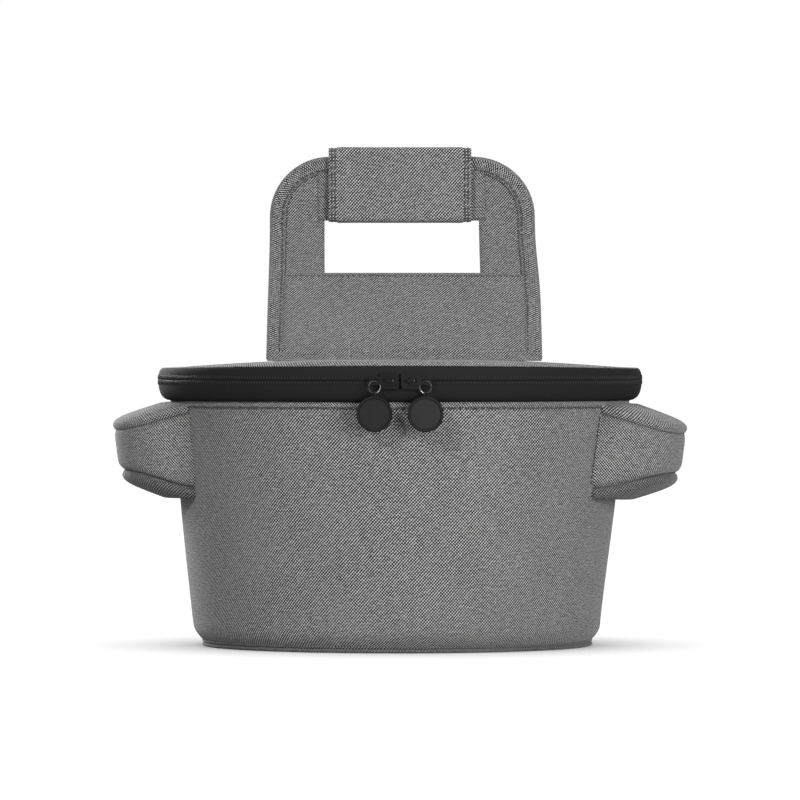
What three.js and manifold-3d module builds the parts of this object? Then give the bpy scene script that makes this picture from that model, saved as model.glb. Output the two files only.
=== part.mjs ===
// Casserole carrier: a round, tapered, insulated bag with a zip-round lid, a pocket on each side
// for the pot's ears, and two arched handles whose grips press together above the lid.
// Millimetres and degrees. +Z is up, the front faces -Y, the origin is the middle of the base.

import * as THREE from "three";
import { mergeVertices } from "three/addons/utils/BufferGeometryUtils.js";
import ManifoldModule from "manifold-3d";

const kernel = await ManifoldModule();
kernel.setup();

// Layers and fits
const fabricThickness = 1.2;
const foamThickness = 4;
const liningThickness = 0.8;
const boardThickness = 2;
const layerGap = 0.3;

// Bag wall and base
const baseRadius = 119;
const rimRadius = 136.5;
const rimHeight = 146.5;
const wallTuck = 2.5;
const wallTuckHeight = 6;
const pipingRadius = 2.2;
const hemHeight = 4;
const hemThickness = 0.8;

// Zip band: how far its middle stands out past the rim, and how high the split is above the rim
const zipOverhang = 8;
const zipRise = 12.7;
const tapeThickness = 1;
const chainHeight = 2.8;
const chainThickness = 2.2;
const chainSlit = 1;
const hingeHalfAngle = 35;

// Lid: flat crown above the split, and the edge that falls away from it
const lidCrownRise = 11.1;
const lidEdgeDrop = 4.3;
const lidFlatRadius = 104;
const lidEdgePower = 1.5;
const lidEdgeInset = 2.4;
const lidLayerInset = 3;

// Ear pockets: how far below the rim their middle is, and half heights about it
const earDrop = 29.2;
const earHalfWidth = 58;
const earDepth = 40;
const earSink = 6;
const earRootHalfHeight = 22.5;
const earEndHalfHeight = 11.8;
const earBandThickness = 3;
const earPanelThickness = 1.4;
const earRootRise = 4;
const earCrown = 5;
const earSquareness = 2.5;
const earWindowHalfWidth = 38;
const earWindowHalfHeight = 16;
const earWindowCorner = 9;
const earLiningTrim = 1;

// Handles: rises are heights above the lid's flat crown
const handleHalfWidth = 78.5;
const handleSeamOffset = 66;
const handleBarRise = 84.7;
const handleTopRise = 122.4;
const handleCutoutRise = 52.2;
const handleCutoutHalfWidth = 46.5;
const handleCutoutCorner = 3;
const handleArchRadius = 36;
const handleBendRadius = 28;
const handleSkin = 0.9;
const handleCoreThickness = 2;
const handleSeamRadius = 2.6;
const bindingThickness = 0.8;
const bindingWidth = 8.5;
const patchBelowCutout = 1.5;

// Grip halves, which meet on the plane between the two handles
const gripHalfLength = 42.7;
const gripOverBar = 5.7;
const gripUnderBar = 1.8;
const gripPadThickness = 3;
const gripStripThickness = 1.1;
const gripStripMargin = 5;
const gripCorner = 3;

// Zip sliders
const sliderLength = 11;
const sliderNoseGap = 1;
const sliderPlate = 1;
const sliderPlateClearance = 0.5;
const sliderCorner = 2;
const sliderLip = 0.6;
const sliderEdge = 0.3;
const sliderLipClearance = 0.6;
const dividerThickness = 0.4;
const dividerLength = 3;
const bailLength = 5;
const bailWidth = 1.6;
const bailBar = 0.9;
const bailRise = 3.7;
const tabThickness = 0.9;
const tabHalfWidth = 2.4;
const tabStandOff = 2;
const tabSlotClearance = 0.4;
const tabEyeOffset = 8.6;
const tabEyeLength = 4.2;
const tabEyeHeight = 1.8;
const tabEyeMargin = 1.2;
const ringRadius = 3.6;
const ringWireRadius = 0.4;
const ringSplit = 14;
const ringTurn = 25;
const pullRadius = 10.5;
const pullThickness = 3.2;
const pullRimWidth = 1.8;
const pullDish = 0.7;
const pullEyeRadius = 1.6;
const pullEyeBore = 0.8;
const pullEyeLength = 1.8;

// Facet counts
const roundSegments = 48;
const sweepSegments = 3;
const cornerSegments = 3;
const archSegments = 5;
const earSegments = 16;
const earRings = 4;
const ringSegments = 20;
const wireSides = 5;
const pipingSides = 6;
const rollSides = 12;
const pullSegments = 24;

// Sizes that follow from the ones above
const zipRadius = rimRadius + zipOverhang;
const splitHeight = rimHeight + zipRise;
const earMiddleHeight = rimHeight - earDrop;
const tapeOutside = zipRadius + tapeThickness / 2;
const lidTop = splitHeight + lidCrownRise;
const lidEdgeRadius = tapeOutside - lidEdgeInset;
const lidEdgeHeight = lidTop - lidEdgeDrop;
const wallFoot = 2 * pipingRadius + layerGap;
const pipingCentre = wallRadiusAt(wallFoot) - wallTuck - fabricThickness / 2;
const foamInset = fabricThickness + layerGap;
const liningInset = foamInset + foamThickness + layerGap;
const innerInset = liningInset + liningThickness + layerGap;
const handleAxisHeight = lidTop + layerGap + handleSeamRadius;
const handleBarBottom = lidTop + handleBarRise;
const handleTop = lidTop + handleTopRise;
const handleCutoutBottom = lidTop + handleCutoutRise;
const skinInside = handleCoreThickness / 2 + layerGap;
const skinOutside = skinInside + handleSkin;
const bindingOutside = skinOutside + layerGap + bindingThickness;
const gripMeeting = layerGap / 2;
const gripStripBack = gripMeeting + gripStripThickness;
const barCentre = gripStripBack + layerGap + bindingOutside;
const barFront = barCentre + bindingOutside;

const unitX = new THREE.Vector3(1, 0, 0);
const unitY = new THREE.Vector3(0, 1, 0);
const unitZ = new THREE.Vector3(0, 0, 1);

const materials = {
  twill: new THREE.MeshStandardMaterial({ color: 0x7c7c7c, roughness: 0.9 }),
  zipTape: new THREE.MeshStandardMaterial({ color: 0x242424, roughness: 0.8 }),
  zipChain: new THREE.MeshStandardMaterial({ color: 0x2c2c2c, roughness: 0.5 }),
  metal: new THREE.MeshStandardMaterial({ color: 0x1c1c1c, roughness: 0.35, metalness: 0.6 }),
  rubber: new THREE.MeshStandardMaterial({ color: 0x2e2e2e, roughness: 0.7 }),
  foam: new THREE.MeshStandardMaterial({ color: 0xe6e6e2, roughness: 1 }),
  board: new THREE.MeshStandardMaterial({ color: 0x303030, roughness: 0.6 }),
  lining: new THREE.MeshStandardMaterial({ color: 0xb4b8bc, roughness: 0.4 }),
  hookLoop: new THREE.MeshStandardMaterial({ color: 0x1e1e1e, roughness: 1 }),
};

// A closed solid from a geometry, turned so that its faces look outward
function solid(geometry) {
  const bare = new THREE.BufferGeometry();
  bare.setAttribute("position", geometry.getAttribute("position"));
  bare.setIndex(geometry.getIndex());
  const merged = mergeVertices(bare, 1e-4);
  const corners = merged.getIndex().array;
  const triangles = [];
  for (let i = 0; i < corners.length; i += 3) {
    const [a, b, c] = corners.slice(i, i + 3);
    const collapsed = a === b || b === c || c === a;
    if (!collapsed) triangles.push(a, b, c);
  }
  const points = merged.getAttribute("position").array;
  const made = solidFromTriangles(points, triangles);
  return made.volume() > 0 ? made : solidFromTriangles(points, triangles.reverse());
}

function solidFromTriangles(points, triangles) {
  const mesh = new kernel.Mesh({ numProp: 3, vertProperties: points, triVerts: Uint32Array.from(triangles) });
  return new kernel.Manifold(mesh);
}

// A named mesh of a solid
function piece(name, body, material) {
  const { vertProperties, triVerts } = body.getMesh();
  const geometry = new THREE.BufferGeometry();
  geometry.setAttribute("position", new THREE.BufferAttribute(vertProperties, 3));
  geometry.setIndex(new THREE.BufferAttribute(triVerts, 1));
  const mesh = new THREE.Mesh(geometry, material);
  mesh.name = name;
  return mesh;
}

function group(...children) {
  const made = new THREE.Group();
  made.add(...children);
  return made;
}

function polygon(points) {
  return new THREE.Shape(points.map(([x, y]) => new THREE.Vector2(x, y)));
}

function roundedBox(left, bottom, right, top, corner) {
  const shape = new THREE.Shape();
  shape.absarc(right - corner, top - corner, corner, 0, Math.PI / 2);
  shape.absarc(left + corner, top - corner, corner, Math.PI / 2, Math.PI);
  shape.absarc(left + corner, bottom + corner, corner, Math.PI, 1.5 * Math.PI);
  shape.absarc(right - corner, bottom + corner, corner, 1.5 * Math.PI, 2 * Math.PI);
  return shape;
}

// A flat outline pushed along an axis: drawn as (y, z) for x, as (x, z) for y and as (x, y) for z
function extrude(outline, axis, from, to, curveSegments = cornerSegments) {
  const settings = { depth: to - from, bevelEnabled: false, curveSegments };
  const geometry = new THREE.ExtrudeGeometry(outline, settings);
  const turn = new THREE.Matrix4();
  if (axis === "x") turn.makeBasis(unitY, unitZ, unitX).setPosition(from, 0, 0);
  if (axis === "y") turn.makeBasis(unitX, unitZ, unitY.clone().negate()).setPosition(0, to, 0);
  if (axis === "z") turn.setPosition(0, 0, from);
  return solid(geometry.applyMatrix4(turn));
}

function block(x0, x1, y0, y1, z0, z1) {
  const geometry = new THREE.BoxGeometry(x1 - x0, y1 - y0, z1 - z0);
  return solid(geometry.translate((x0 + x1) / 2, (y0 + y1) / 2, (z0 + z1) / 2));
}

// A closed (radius, height) outline turned about the bag's upright axis
function revolve(outline) {
  const closed = [...outline, outline[0]].map(([r, z]) => new THREE.Vector2(r, z));
  return solid(new THREE.LatheGeometry(closed, roundSegments).rotateX(Math.PI / 2));
}

function disc(radius, bottom, top) {
  return revolve([[0, bottom], [radius, bottom], [radius, top], [0, top]]);
}

// A curve shifted to its left by a distance
function shifted(curve, distance) {
  return curve.map(([x, y], i) => {
    const [x0, y0] = curve[Math.max(i - 1, 0)];
    const [x1, y1] = curve[Math.min(i + 1, curve.length - 1)];
    const length = Math.hypot(x1 - x0, y1 - y0);
    return [x - (distance * (y1 - y0)) / length, y + (distance * (x1 - x0)) / length];
  });
}

// The closed outline of a strip that follows a curve between two distances to its left
function ribbon(curve, near, far) {
  return [...shifted(curve, near), ...shifted(curve, far).reverse()];
}

function bend(start, corner, end) {
  const points = [start, corner, end].map(([x, y]) => new THREE.Vector2(x, y));
  const curve = new THREE.QuadraticBezierCurve(...points);
  return curve.getPoints(sweepSegments).map(({ x, y }) => [x, y]);
}

// The piece of pie that the fabric hinge takes out of the zip at the back
function hingeWedge(gap) {
  const reach = 2 * zipRadius;
  const half = THREE.MathUtils.degToRad(hingeHalfAngle) + gap / zipRadius;
  const [x, y] = [reach * Math.sin(half), reach * Math.cos(half)];
  return extrude(polygon([[0, 0], [x, y], [-x, y]]), "z", 0, 2 * splitHeight);
}

// Bag body

function wallRadiusAt(height) {
  return baseRadius + ((rimRadius - baseRadius) * height) / rimHeight;
}

// The side of the wall from its tucked foot to the rim, set in by a distance
function wallSide(inset) {
  const tuckTop = wallFoot + wallTuckHeight;
  return [
    [wallRadiusAt(wallFoot) - wallTuck - inset, wallFoot],
    [wallRadiusAt(tuckTop) - inset, tuckTop],
    [rimRadius - inset, rimHeight],
  ];
}

function wallLayer(inset, thickness) {
  const shell = revolve([...wallSide(inset), ...wallSide(inset + thickness).reverse()]);
  return shell.subtract(earWindows());
}

function earWindows() {
  const [low, high] = [earMiddleHeight - earWindowHalfHeight, earMiddleHeight + earWindowHalfHeight];
  const outline = roundedBox(-earWindowHalfWidth, low, earWindowHalfWidth, high, earWindowCorner);
  const inside = baseRadius - innerInset - 2 * earSink;
  const outside = rimRadius + zipOverhang;
  return extrude(outline, "x", inside, outside).add(extrude(outline, "x", -outside, -inside));
}

function rimHem() {
  const low = rimHeight - hemHeight;
  const near = layerGap;
  const far = near + hemThickness;
  return revolve([
    [wallRadiusAt(low) + near, low],
    [wallRadiusAt(low) + far, low],
    [rimRadius + far, rimHeight],
    [rimRadius + near, rimHeight],
  ]);
}

// The outside of the lower zip tape, from the rim out and up to a height
function lowerTapeCurve(top) {
  const start = rimHeight + layerGap;
  return bend([rimRadius, start], [tapeOutside, start], [tapeOutside, top]);
}

// The outside of the upper zip tape, from a height up to the lid's edge
function upperTapeCurve(bottom) {
  const end = [lidEdgeRadius + 2 * layerGap, lidEdgeHeight];
  return bend([tapeOutside, bottom], [tapeOutside, lidEdgeHeight], end);
}

function zipChain(bottom) {
  const [near, far] = [zipRadius - chainThickness / 2, zipRadius + chainThickness / 2];
  const top = bottom + chainHeight;
  const ring = revolve([[near, bottom], [far, bottom], [far, top], [near, top]]);
  return ring.subtract(hingeWedge(layerGap));
}

function bagPieces() {
  const panelRadius = pipingCentre - pipingRadius - layerGap;
  const boardBottom = fabricThickness + layerGap;
  const foamBottom = boardBottom + boardThickness + layerGap;
  const floorBottom = foamBottom + foamThickness + layerGap;
  const floorRadius = wallRadiusAt(wallFoot) - wallTuck - innerInset;
  const piping = new THREE.TorusGeometry(pipingCentre, pipingRadius, pipingSides, roundSegments);
  const chainBottom = splitHeight - chainSlit / 2 - chainHeight;
  const tape = revolve(ribbon(lowerTapeCurve(chainBottom - layerGap), 0, tapeThickness));
  const leaf = revolve(ribbon(lowerTapeCurve(splitHeight - layerGap / 2), 0, tapeThickness));
  return [
    piece("base_panel", disc(panelRadius, 0, fabricThickness), materials.twill),
    piece("base_piping", solid(piping.translate(0, 0, pipingRadius)), materials.twill),
    piece("base_board", disc(panelRadius, boardBottom, boardBottom + boardThickness), materials.board),
    piece("base_foam", disc(floorRadius, foamBottom, foamBottom + foamThickness), materials.foam),
    piece("floor_lining", disc(floorRadius, floorBottom, floorBottom + liningThickness), materials.lining),
    piece("body_wall", wallLayer(0, fabricThickness), materials.twill),
    piece("wall_foam", wallLayer(foamInset, foamThickness), materials.foam),
    piece("wall_lining", wallLayer(liningInset, liningThickness), materials.lining),
    piece("rim_hem", rimHem(), materials.twill),
    piece("zip_tape_lower", tape.subtract(hingeWedge(layerGap)), materials.zipTape),
    piece("zip_chain_lower", zipChain(chainBottom), materials.zipChain),
    piece("hinge_leaf_lower", leaf.intersect(hingeWedge(0)), materials.twill),
  ];
}

// Ear pockets

const earRoot = Math.sqrt(wallRadiusAt(earMiddleHeight) ** 2 - earHalfWidth ** 2) - earSink;
const earReach = wallRadiusAt(earMiddleHeight) + earDepth - earRoot;

// Half the height of the pocket's band at a distance out from its root
function earHalfHeight(out) {
  const blend = 0.5 + 0.5 * Math.cos((Math.PI * out) / earReach);
  return earEndHalfHeight + (earRootHalfHeight - earEndHalfHeight) * blend;
}

// The pocket's rounded outline in plan, as (out from the root, along the wall)
function earOutline() {
  const points = [];
  for (let i = 0; i <= earSegments; i += 1) {
    const angle = Math.PI * (i / earSegments - 0.5);
    const out = earReach * Math.max(Math.cos(angle), 0) ** (2 / earSquareness);
    const along = earHalfWidth * Math.sign(angle) * Math.abs(Math.sin(angle)) ** (2 / earSquareness);
    points.push([out, along]);
  }
  return points;
}

// A closed solid between two grids of points that face each other
function slab(upper, lower) {
  const rows = upper.length;
  const columns = upper[0].length;
  const points = [...upper.flat(), ...lower.flat()];
  const index = [];
  const at = (side, i, j) => side * rows * columns + i * columns + j;
  const quad = (a, b, c, d) => index.push(a, b, c, a, c, d);
  for (let i = 0; i < rows - 1; i += 1) {
    for (let j = 0; j < columns - 1; j += 1) {
      quad(at(0, i, j), at(0, i + 1, j), at(0, i + 1, j + 1), at(0, i, j + 1));
      quad(at(1, i, j), at(1, i, j + 1), at(1, i + 1, j + 1), at(1, i + 1, j));
    }
    quad(at(0, i, 0), at(1, i, 0), at(1, i + 1, 0), at(0, i + 1, 0));
    quad(at(0, i, columns - 1), at(0, i + 1, columns - 1), at(1, i + 1, columns - 1), at(1, i, columns - 1));
  }
  for (let j = 0; j < columns - 1; j += 1) {
    quad(at(0, 0, j), at(0, 0, j + 1), at(1, 0, j + 1), at(1, 0, j));
    quad(at(0, rows - 1, j), at(1, rows - 1, j), at(1, rows - 1, j + 1), at(0, rows - 1, j + 1));
  }
  const geometry = new THREE.BufferGeometry().setFromPoints(points);
  geometry.setIndex(index);
  return solid(geometry);
}

// A strip that follows the pocket's outline between two distances in from it
function earStrip(near, far, trim) {
  const outline = earOutline();
  const wall = (distance) =>
    shifted(outline, distance).map(([out, along], i) => {
      const half = earHalfHeight(outline[i][0]) - trim;
      const [low, high] = [earMiddleHeight - half, earMiddleHeight + half];
      return [new THREE.Vector3(earRoot + out, along, low), new THREE.Vector3(earRoot + out, along, high)];
    });
  return slab(wall(near), wall(far));
}

// The puffed panel that closes the pocket above (side 1) or below (side -1)
function earPanel(side) {
  const outline = earOutline();
  const skin = (lift) =>
    outline.map(([out, along]) => {
      const row = [];
      for (let j = 0; j <= earRings; j += 1) {
        const share = j / earRings;
        const puff = earRootRise * (1 - share ** 2) + 4 * earCrown * share * (1 - share);
        const height = earHalfHeight(share * out) + puff + lift;
        row.push(new THREE.Vector3(earRoot + share * out, share * along, earMiddleHeight + side * height));
      }
      return row;
    });
  return slab(skin(layerGap + earPanelThickness), skin(layerGap));
}

// Everything that the pockets must keep clear of, out to a gap past the wall, hem and zip tape
function bagEnvelope() {
  const low = rimHeight - hemHeight - layerGap;
  const hemOutside = hemThickness + 2 * layerGap;
  return revolve([
    [0, wallFoot],
    [wallRadiusAt(wallFoot) + layerGap, wallFoot],
    [wallRadiusAt(low) + layerGap, low],
    [wallRadiusAt(low) + hemOutside, low],
    [rimRadius + hemOutside, rimHeight - layerGap],
    ...shifted(lowerTapeCurve(splitHeight), -layerGap).slice(1),
    [0, splitHeight],
  ]);
}

function earPocket(side) {
  const envelope = bagEnvelope();
  const liningNear = earBandThickness + layerGap;
  const band = earStrip(0, earBandThickness, 0).subtract(envelope);
  const lining = earStrip(liningNear, liningNear + liningThickness, earLiningTrim).subtract(envelope);
  const pocket = group(
    piece(`${side}_ear_band`, band, materials.twill),
    piece(`${side}_ear_top`, earPanel(1).subtract(envelope), materials.twill),
    piece(`${side}_ear_bottom`, earPanel(-1).subtract(envelope), materials.twill),
    piece(`${side}_ear_lining`, lining, materials.lining),
  );
  if (side === "left") pocket.rotation.z = Math.PI;
  return pocket;
}

// Lid

// The outside of the lid from its edge, at a radius, in to the middle
function lidCurve(radius, steps) {
  const curve = [];
  for (let i = 0; i <= steps; i += 1) {
    const r = radius + ((lidFlatRadius - radius) * i) / steps;
    const share = (r - lidFlatRadius) / (lidEdgeRadius - lidFlatRadius);
    curve.push([r, lidTop - lidEdgeDrop * share ** lidEdgePower]);
  }
  return [...curve, [0, lidTop]];
}

function lidPieces() {
  const foamTop = fabricThickness + layerGap;
  const liningTop = foamTop + foamThickness + layerGap;
  const chainBottom = splitHeight + chainSlit / 2;
  const tape = revolve(ribbon(upperTapeCurve(chainBottom + chainHeight + layerGap), 0, tapeThickness));
  const leaf = revolve(ribbon(upperTapeCurve(splitHeight + layerGap / 2), 0, tapeThickness));
  const outerCurve = lidCurve(lidEdgeRadius, sweepSegments);
  const innerCurve = lidCurve(lidEdgeRadius - lidLayerInset, 1);
  const top = revolve(ribbon(outerCurve, 0, fabricThickness));
  const foam = revolve(ribbon(innerCurve, foamTop, foamTop + foamThickness));
  const lining = revolve(ribbon(innerCurve, liningTop, liningTop + liningThickness));
  return [
    piece("lid_top", top, materials.twill),
    piece("lid_foam", foam, materials.foam),
    piece("lid_lining", lining, materials.lining),
    piece("zip_tape_upper", tape.subtract(hingeWedge(layerGap)), materials.zipTape),
    piece("zip_chain_upper", zipChain(chainBottom), materials.zipChain),
    piece("hinge_leaf_upper", leaf.intersect(hingeWedge(0)), materials.twill),
  ];
}

// Handles

// The middle of the handle's sheet in side view, as (y, z), from a distance off its seam:
// a straight lean, a bend and an upright bar
function handleCurve(start) {
  const centre = [-barCentre - handleBendRadius, handleBarBottom];
  const toCentre = [centre[0] + handleSeamOffset, centre[1] - handleAxisHeight];
  const distance = Math.hypot(...toCentre);
  const rise = Math.atan2(toCentre[1], toCentre[0]) - Math.asin(handleBendRadius / distance);
  const curve = [[-handleSeamOffset + start * Math.cos(rise), handleAxisHeight + start * Math.sin(rise)]];
  for (let i = 0; i <= sweepSegments; i += 1) {
    const angle = (rise - Math.PI / 2) * (1 - i / sweepSegments);
    const [across, up] = [handleBendRadius * Math.cos(angle), handleBendRadius * Math.sin(angle)];
    curve.push([centre[0] + across, centre[1] + up]);
  }
  curve.push([-barCentre, handleTop]);
  return curve;
}

function handleSheet(near, far, start = handleSeamRadius + layerGap) {
  return extrude(polygon(ribbon(handleCurve(start), near, far)), "x", -handleHalfWidth, handleHalfWidth);
}

// The arched outline of the handle in front view, set in by a distance and pushed right through
function handleArch(inset) {
  const half = handleHalfWidth - inset;
  const top = handleTop - inset;
  const corner = handleArchRadius - inset;
  const shape = new THREE.Shape();
  shape.moveTo(-half, lidTop);
  shape.lineTo(half, lidTop);
  shape.absarc(half - corner, top - corner, corner, 0, Math.PI / 2);
  shape.absarc(corner - half, top - corner, corner, Math.PI / 2, Math.PI);
  return extrude(shape, "y", -2 * handleSeamOffset, handleSeamOffset, archSegments);
}

function handleCutout() {
  const half = handleCutoutHalfWidth;
  const outline = roundedBox(-half, handleCutoutBottom, half, handleBarBottom, handleCutoutCorner);
  return extrude(outline, "y", -2 * handleSeamOffset, handleSeamOffset);
}

function handleBinding() {
  const edge = handleSheet(-bindingOutside, bindingOutside).subtract(handleArch(bindingWidth));
  const channel = handleSheet(-skinOutside - layerGap, skinOutside + layerGap, 0);
  return edge.intersect(handleArch(0)).subtract(channel.intersect(handleArch(bindingThickness)));
}

function handlePatch() {
  const half = handleHalfWidth - bindingWidth - layerGap;
  const top = handleCutoutBottom - patchBelowCutout;
  const outline = polygon([[-half, lidTop], [half, lidTop], [half, top], [-half, top]]);
  const sheet = handleSheet(skinOutside + layerGap, bindingOutside);
  return sheet.intersect(extrude(outline, "y", -2 * handleSeamOffset, handleSeamOffset));
}

function handleSeam() {
  const roll = new THREE.CylinderGeometry(handleSeamRadius, handleSeamRadius, 2 * handleHalfWidth, rollSides);
  return solid(roll.rotateZ(Math.PI / 2).translate(0, -handleSeamOffset, handleAxisHeight));
}

// Half of the padded grip: its cover is open on the plane where the two halves meet
function gripHalf(side, strip) {
  const low = handleBarBottom - gripUnderBar;
  const high = handleTop + gripOverBar;
  const padFront = barFront + layerGap + gripPadThickness;
  const front = padFront + layerGap + fabricThickness;
  const inside = fabricThickness + layerGap;
  const across = [-gripHalfLength, gripHalfLength];
  const outer = extrude(roundedBox(-front, low, front, high, gripCorner), "x", ...across);
  const hollowLow = low + fabricThickness;
  const hollowHigh = high - fabricThickness;
  const hollow = extrude(polygon([
    [-front + fabricThickness, hollowLow],
    [0, hollowLow],
    [0, hollowHigh],
    [-front + fabricThickness, hollowHigh],
  ]), "x", -handleHalfWidth, handleHalfWidth);
  const nearHalf = block(-handleHalfWidth, handleHalfWidth, -2 * front, -gripMeeting, lidTop, 2 * high);
  const pad = polygon([
    [-padFront, handleBarBottom],
    [-barFront - layerGap, handleBarBottom],
    [-barFront - layerGap, handleTop + layerGap],
    [-gripMeeting, handleTop + layerGap],
    [-gripMeeting, high - inside],
    [-padFront, high - inside],
  ]);
  const stripLow = handleBarBottom + gripStripMargin;
  const stripHigh = handleTop - gripStripMargin;
  const stripHalf = gripHalfLength - gripStripMargin;
  const stripBlock = block(-stripHalf, stripHalf, -gripStripBack, -gripMeeting, stripLow, stripHigh);
  return [
    piece(`${side}_grip_cover`, outer.intersect(nearHalf).subtract(hollow), materials.twill),
    piece(`${side}_grip_pad`, extrude(pad, "x", ...across), materials.foam),
    piece(strip, stripBlock, materials.hookLoop),
  ];
}

function handle(side, strip) {
  const whole = handleArch(bindingThickness + layerGap);
  const layer = (near, far) => handleSheet(near, far).intersect(whole).subtract(handleCutout());
  const half = handleCoreThickness / 2;
  const made = group(
    piece(`${side}_handle_face`, layer(skinInside, skinOutside), materials.twill),
    piece(`${side}_handle_core`, layer(-half, half), materials.foam),
    piece(`${side}_handle_back`, layer(-skinOutside, -skinInside), materials.twill),
    piece(`${side}_handle_binding`, handleBinding(), materials.twill),
    piece(`${side}_handle_patch`, handlePatch(), materials.twill),
    piece(`${side}_handle_seam`, handleSeam(), materials.twill),
    ...gripHalf(side, strip),
  );
  if (side === "rear") made.rotation.z = Math.PI;
  return made;
}

// Zip sliders, drawn at the front with the chain's middle at the origin, the nose toward +X and -Y outward

const plateInside = chainThickness / 2 + sliderPlateClearance;
const plateOutside = plateInside + sliderPlate;
const plateHalfHeight = chainSlit / 2 + chainHeight + sliderLipClearance + sliderLip + sliderEdge;
const pinCentre = plateOutside + tabStandOff;
const tabEye = new THREE.Vector3(-tabEyeOffset, -pinCentre, 0);
const ringDirection = THREE.MathUtils.degToRad(ringTurn);

function sliderBody() {
  const half = sliderLength / 2;
  const outline = roundedBox(-half, -plateHalfHeight, half, plateHalfHeight, sliderCorner);
  const front = extrude(outline, "y", -plateOutside, -plateInside);
  const back = extrude(outline, "y", plateInside, plateOutside);
  const overlap = sliderPlate / 2;
  const divider = block(
    half - sliderCorner - dividerLength,
    half - sliderCorner,
    -plateInside - overlap,
    plateInside + overlap,
    -dividerThickness / 2,
    dividerThickness / 2,
  );
  const lipReach = tapeThickness / 2 + sliderLipClearance;
  const lipHalf = half - sliderCorner;
  const lipHigh = -chainSlit / 2 - chainHeight - sliderLipClearance;
  const lipLow = lipHigh - sliderLip;
  const frontLip = block(-lipHalf, lipHalf, -plateInside - overlap, -lipReach, lipLow, lipHigh);
  const backLip = block(-lipHalf, lipHalf, lipReach, plateInside + overlap, lipLow, lipHigh);
  return front.add(back).add(divider).add(frontLip).add(backLip).add(bail());
}

function bail() {
  const half = bailLength / 2;
  const top = plateOutside + bailRise;
  const arch = roundedBox(-half, -top, half, sliderPlate / 2 - plateOutside, bailBar / 2);
  const inside = half - bailBar;
  const opening = roundedBox(-inside, bailBar - top, inside, sliderPlate / 4 - plateOutside, bailBar / 2);
  const body = extrude(arch, "z", -bailWidth / 2, bailWidth / 2);
  return body.subtract(extrude(opening, "z", -bailWidth, bailWidth));
}

function pullTab() {
  const pin = tabThickness / 2;
  const end = tabEyeOffset + tabEyeLength / 2 + tabEyeMargin;
  const bailCorner = Math.hypot(bailLength / 2, plateOutside + bailRise - pinCentre);
  const slotEnd = bailCorner + tabSlotClearance;
  const slotHalf = bailWidth / 2 + tabSlotClearance;
  const through = [-pinCentre - tabThickness, -pinCentre + tabThickness];
  const plate = roundedBox(-end, -tabHalfWidth, pin, tabHalfWidth, pin);
  const slot = roundedBox(-slotEnd, -slotHalf, -pin, slotHalf, pin);
  const eyeHalf = tabEyeHeight / 2;
  const eyeReach = tabEyeLength / 2;
  const eye = roundedBox(-tabEyeOffset - eyeReach, -eyeHalf, eyeReach - tabEyeOffset, eyeHalf, eyeHalf / 2);
  const body = extrude(plate, "y", -pinCentre - pin, -pinCentre + pin);
  return body.subtract(extrude(slot, "y", ...through)).subtract(extrude(eye, "y", ...through));
}

// A wire ring with a small split, hung from the tab's eye and turned a little off the zip's face
function jumpRing() {
  const open = THREE.MathUtils.degToRad(ringSplit);
  const rings = [];
  for (let i = 0; i <= ringSegments; i += 1) {
    const around = open / 2 + ((2 * Math.PI - open) * i) / ringSegments;
    const section = [];
    for (let j = 0; j < wireSides; j += 1) {
      const turn = (2 * Math.PI * j) / wireSides;
      const reach = ringRadius + ringWireRadius * Math.cos(turn);
      const side = ringWireRadius * Math.sin(turn);
      section.push(new THREE.Vector3(-reach * Math.cos(around), side, reach * Math.sin(around)));
    }
    rings.push(section);
  }
  const turnOut = new THREE.Matrix4().makeRotationZ(ringDirection);
  const hang = turnOut.setPosition(tabEye.x, tabEye.y, tabEye.z - ringRadius);
  return tube(rings.map((section) => section.map((point) => point.applyMatrix4(hang))));
}

// A closed solid through rings of points, capped at both ends
function tube(rings) {
  const sides = rings[0].length;
  const index = [];
  for (let i = 0; i < rings.length - 1; i += 1) {
    for (let j = 0; j < sides; j += 1) {
      const k = (j + 1) % sides;
      index.push(i * sides + j, i * sides + k, (i + 1) * sides + k);
      index.push(i * sides + j, (i + 1) * sides + k, (i + 1) * sides + j);
    }
  }
  const last = (rings.length - 1) * sides;
  for (let j = 1; j < sides - 1; j += 1) {
    index.push(0, j + 1, j);
    index.push(last, last + j, last + j + 1);
  }
  const geometry = new THREE.BufferGeometry().setFromPoints(rings.flat());
  geometry.setIndex(index);
  return solid(geometry);
}

// A round rubber pull with a raised rim and a plain dished face, on a small eye that the ring runs through
function pullDisc() {
  const half = pullThickness / 2;
  const inner = pullRadius - pullRimWidth;
  const outline = [
    [0, -half + pullDish],
    [inner, -half + pullDish],
    [inner + pullDish, -half],
    [pullRadius - pullDish, -half],
    [pullRadius, -half + pullDish],
    [pullRadius, half - pullDish],
    [pullRadius - pullDish, half],
    [0, half],
    [0, -half + pullDish],
  ].map(([r, y]) => new THREE.Vector2(r, y));
  const eyeHeight = -2 * ringRadius;
  const middle = eyeHeight - pullEyeRadius - pullRadius;
  const coin = solid(new THREE.LatheGeometry(outline, pullSegments).translate(tabEye.x, tabEye.y, middle));
  const across = (radius, length) =>
    solid(
      new THREE.CylinderGeometry(radius, radius, length, rollSides)
        .rotateZ(Math.PI / 2)
        .rotateZ(ringDirection)
        .translate(tabEye.x, tabEye.y, eyeHeight),
    );
  const neckHalf = pullEyeLength / 2;
  const neck = block(
    tabEye.x - neckHalf,
    tabEye.x + neckHalf,
    tabEye.y - neckHalf,
    tabEye.y + neckHalf,
    middle + inner,
    eyeHeight - pullEyeBore,
  );
  const eye = across(pullEyeRadius, pullEyeLength).add(neck);
  return coin.add(eye).subtract(across(pullEyeBore, 3 * pullEyeLength));
}

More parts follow.
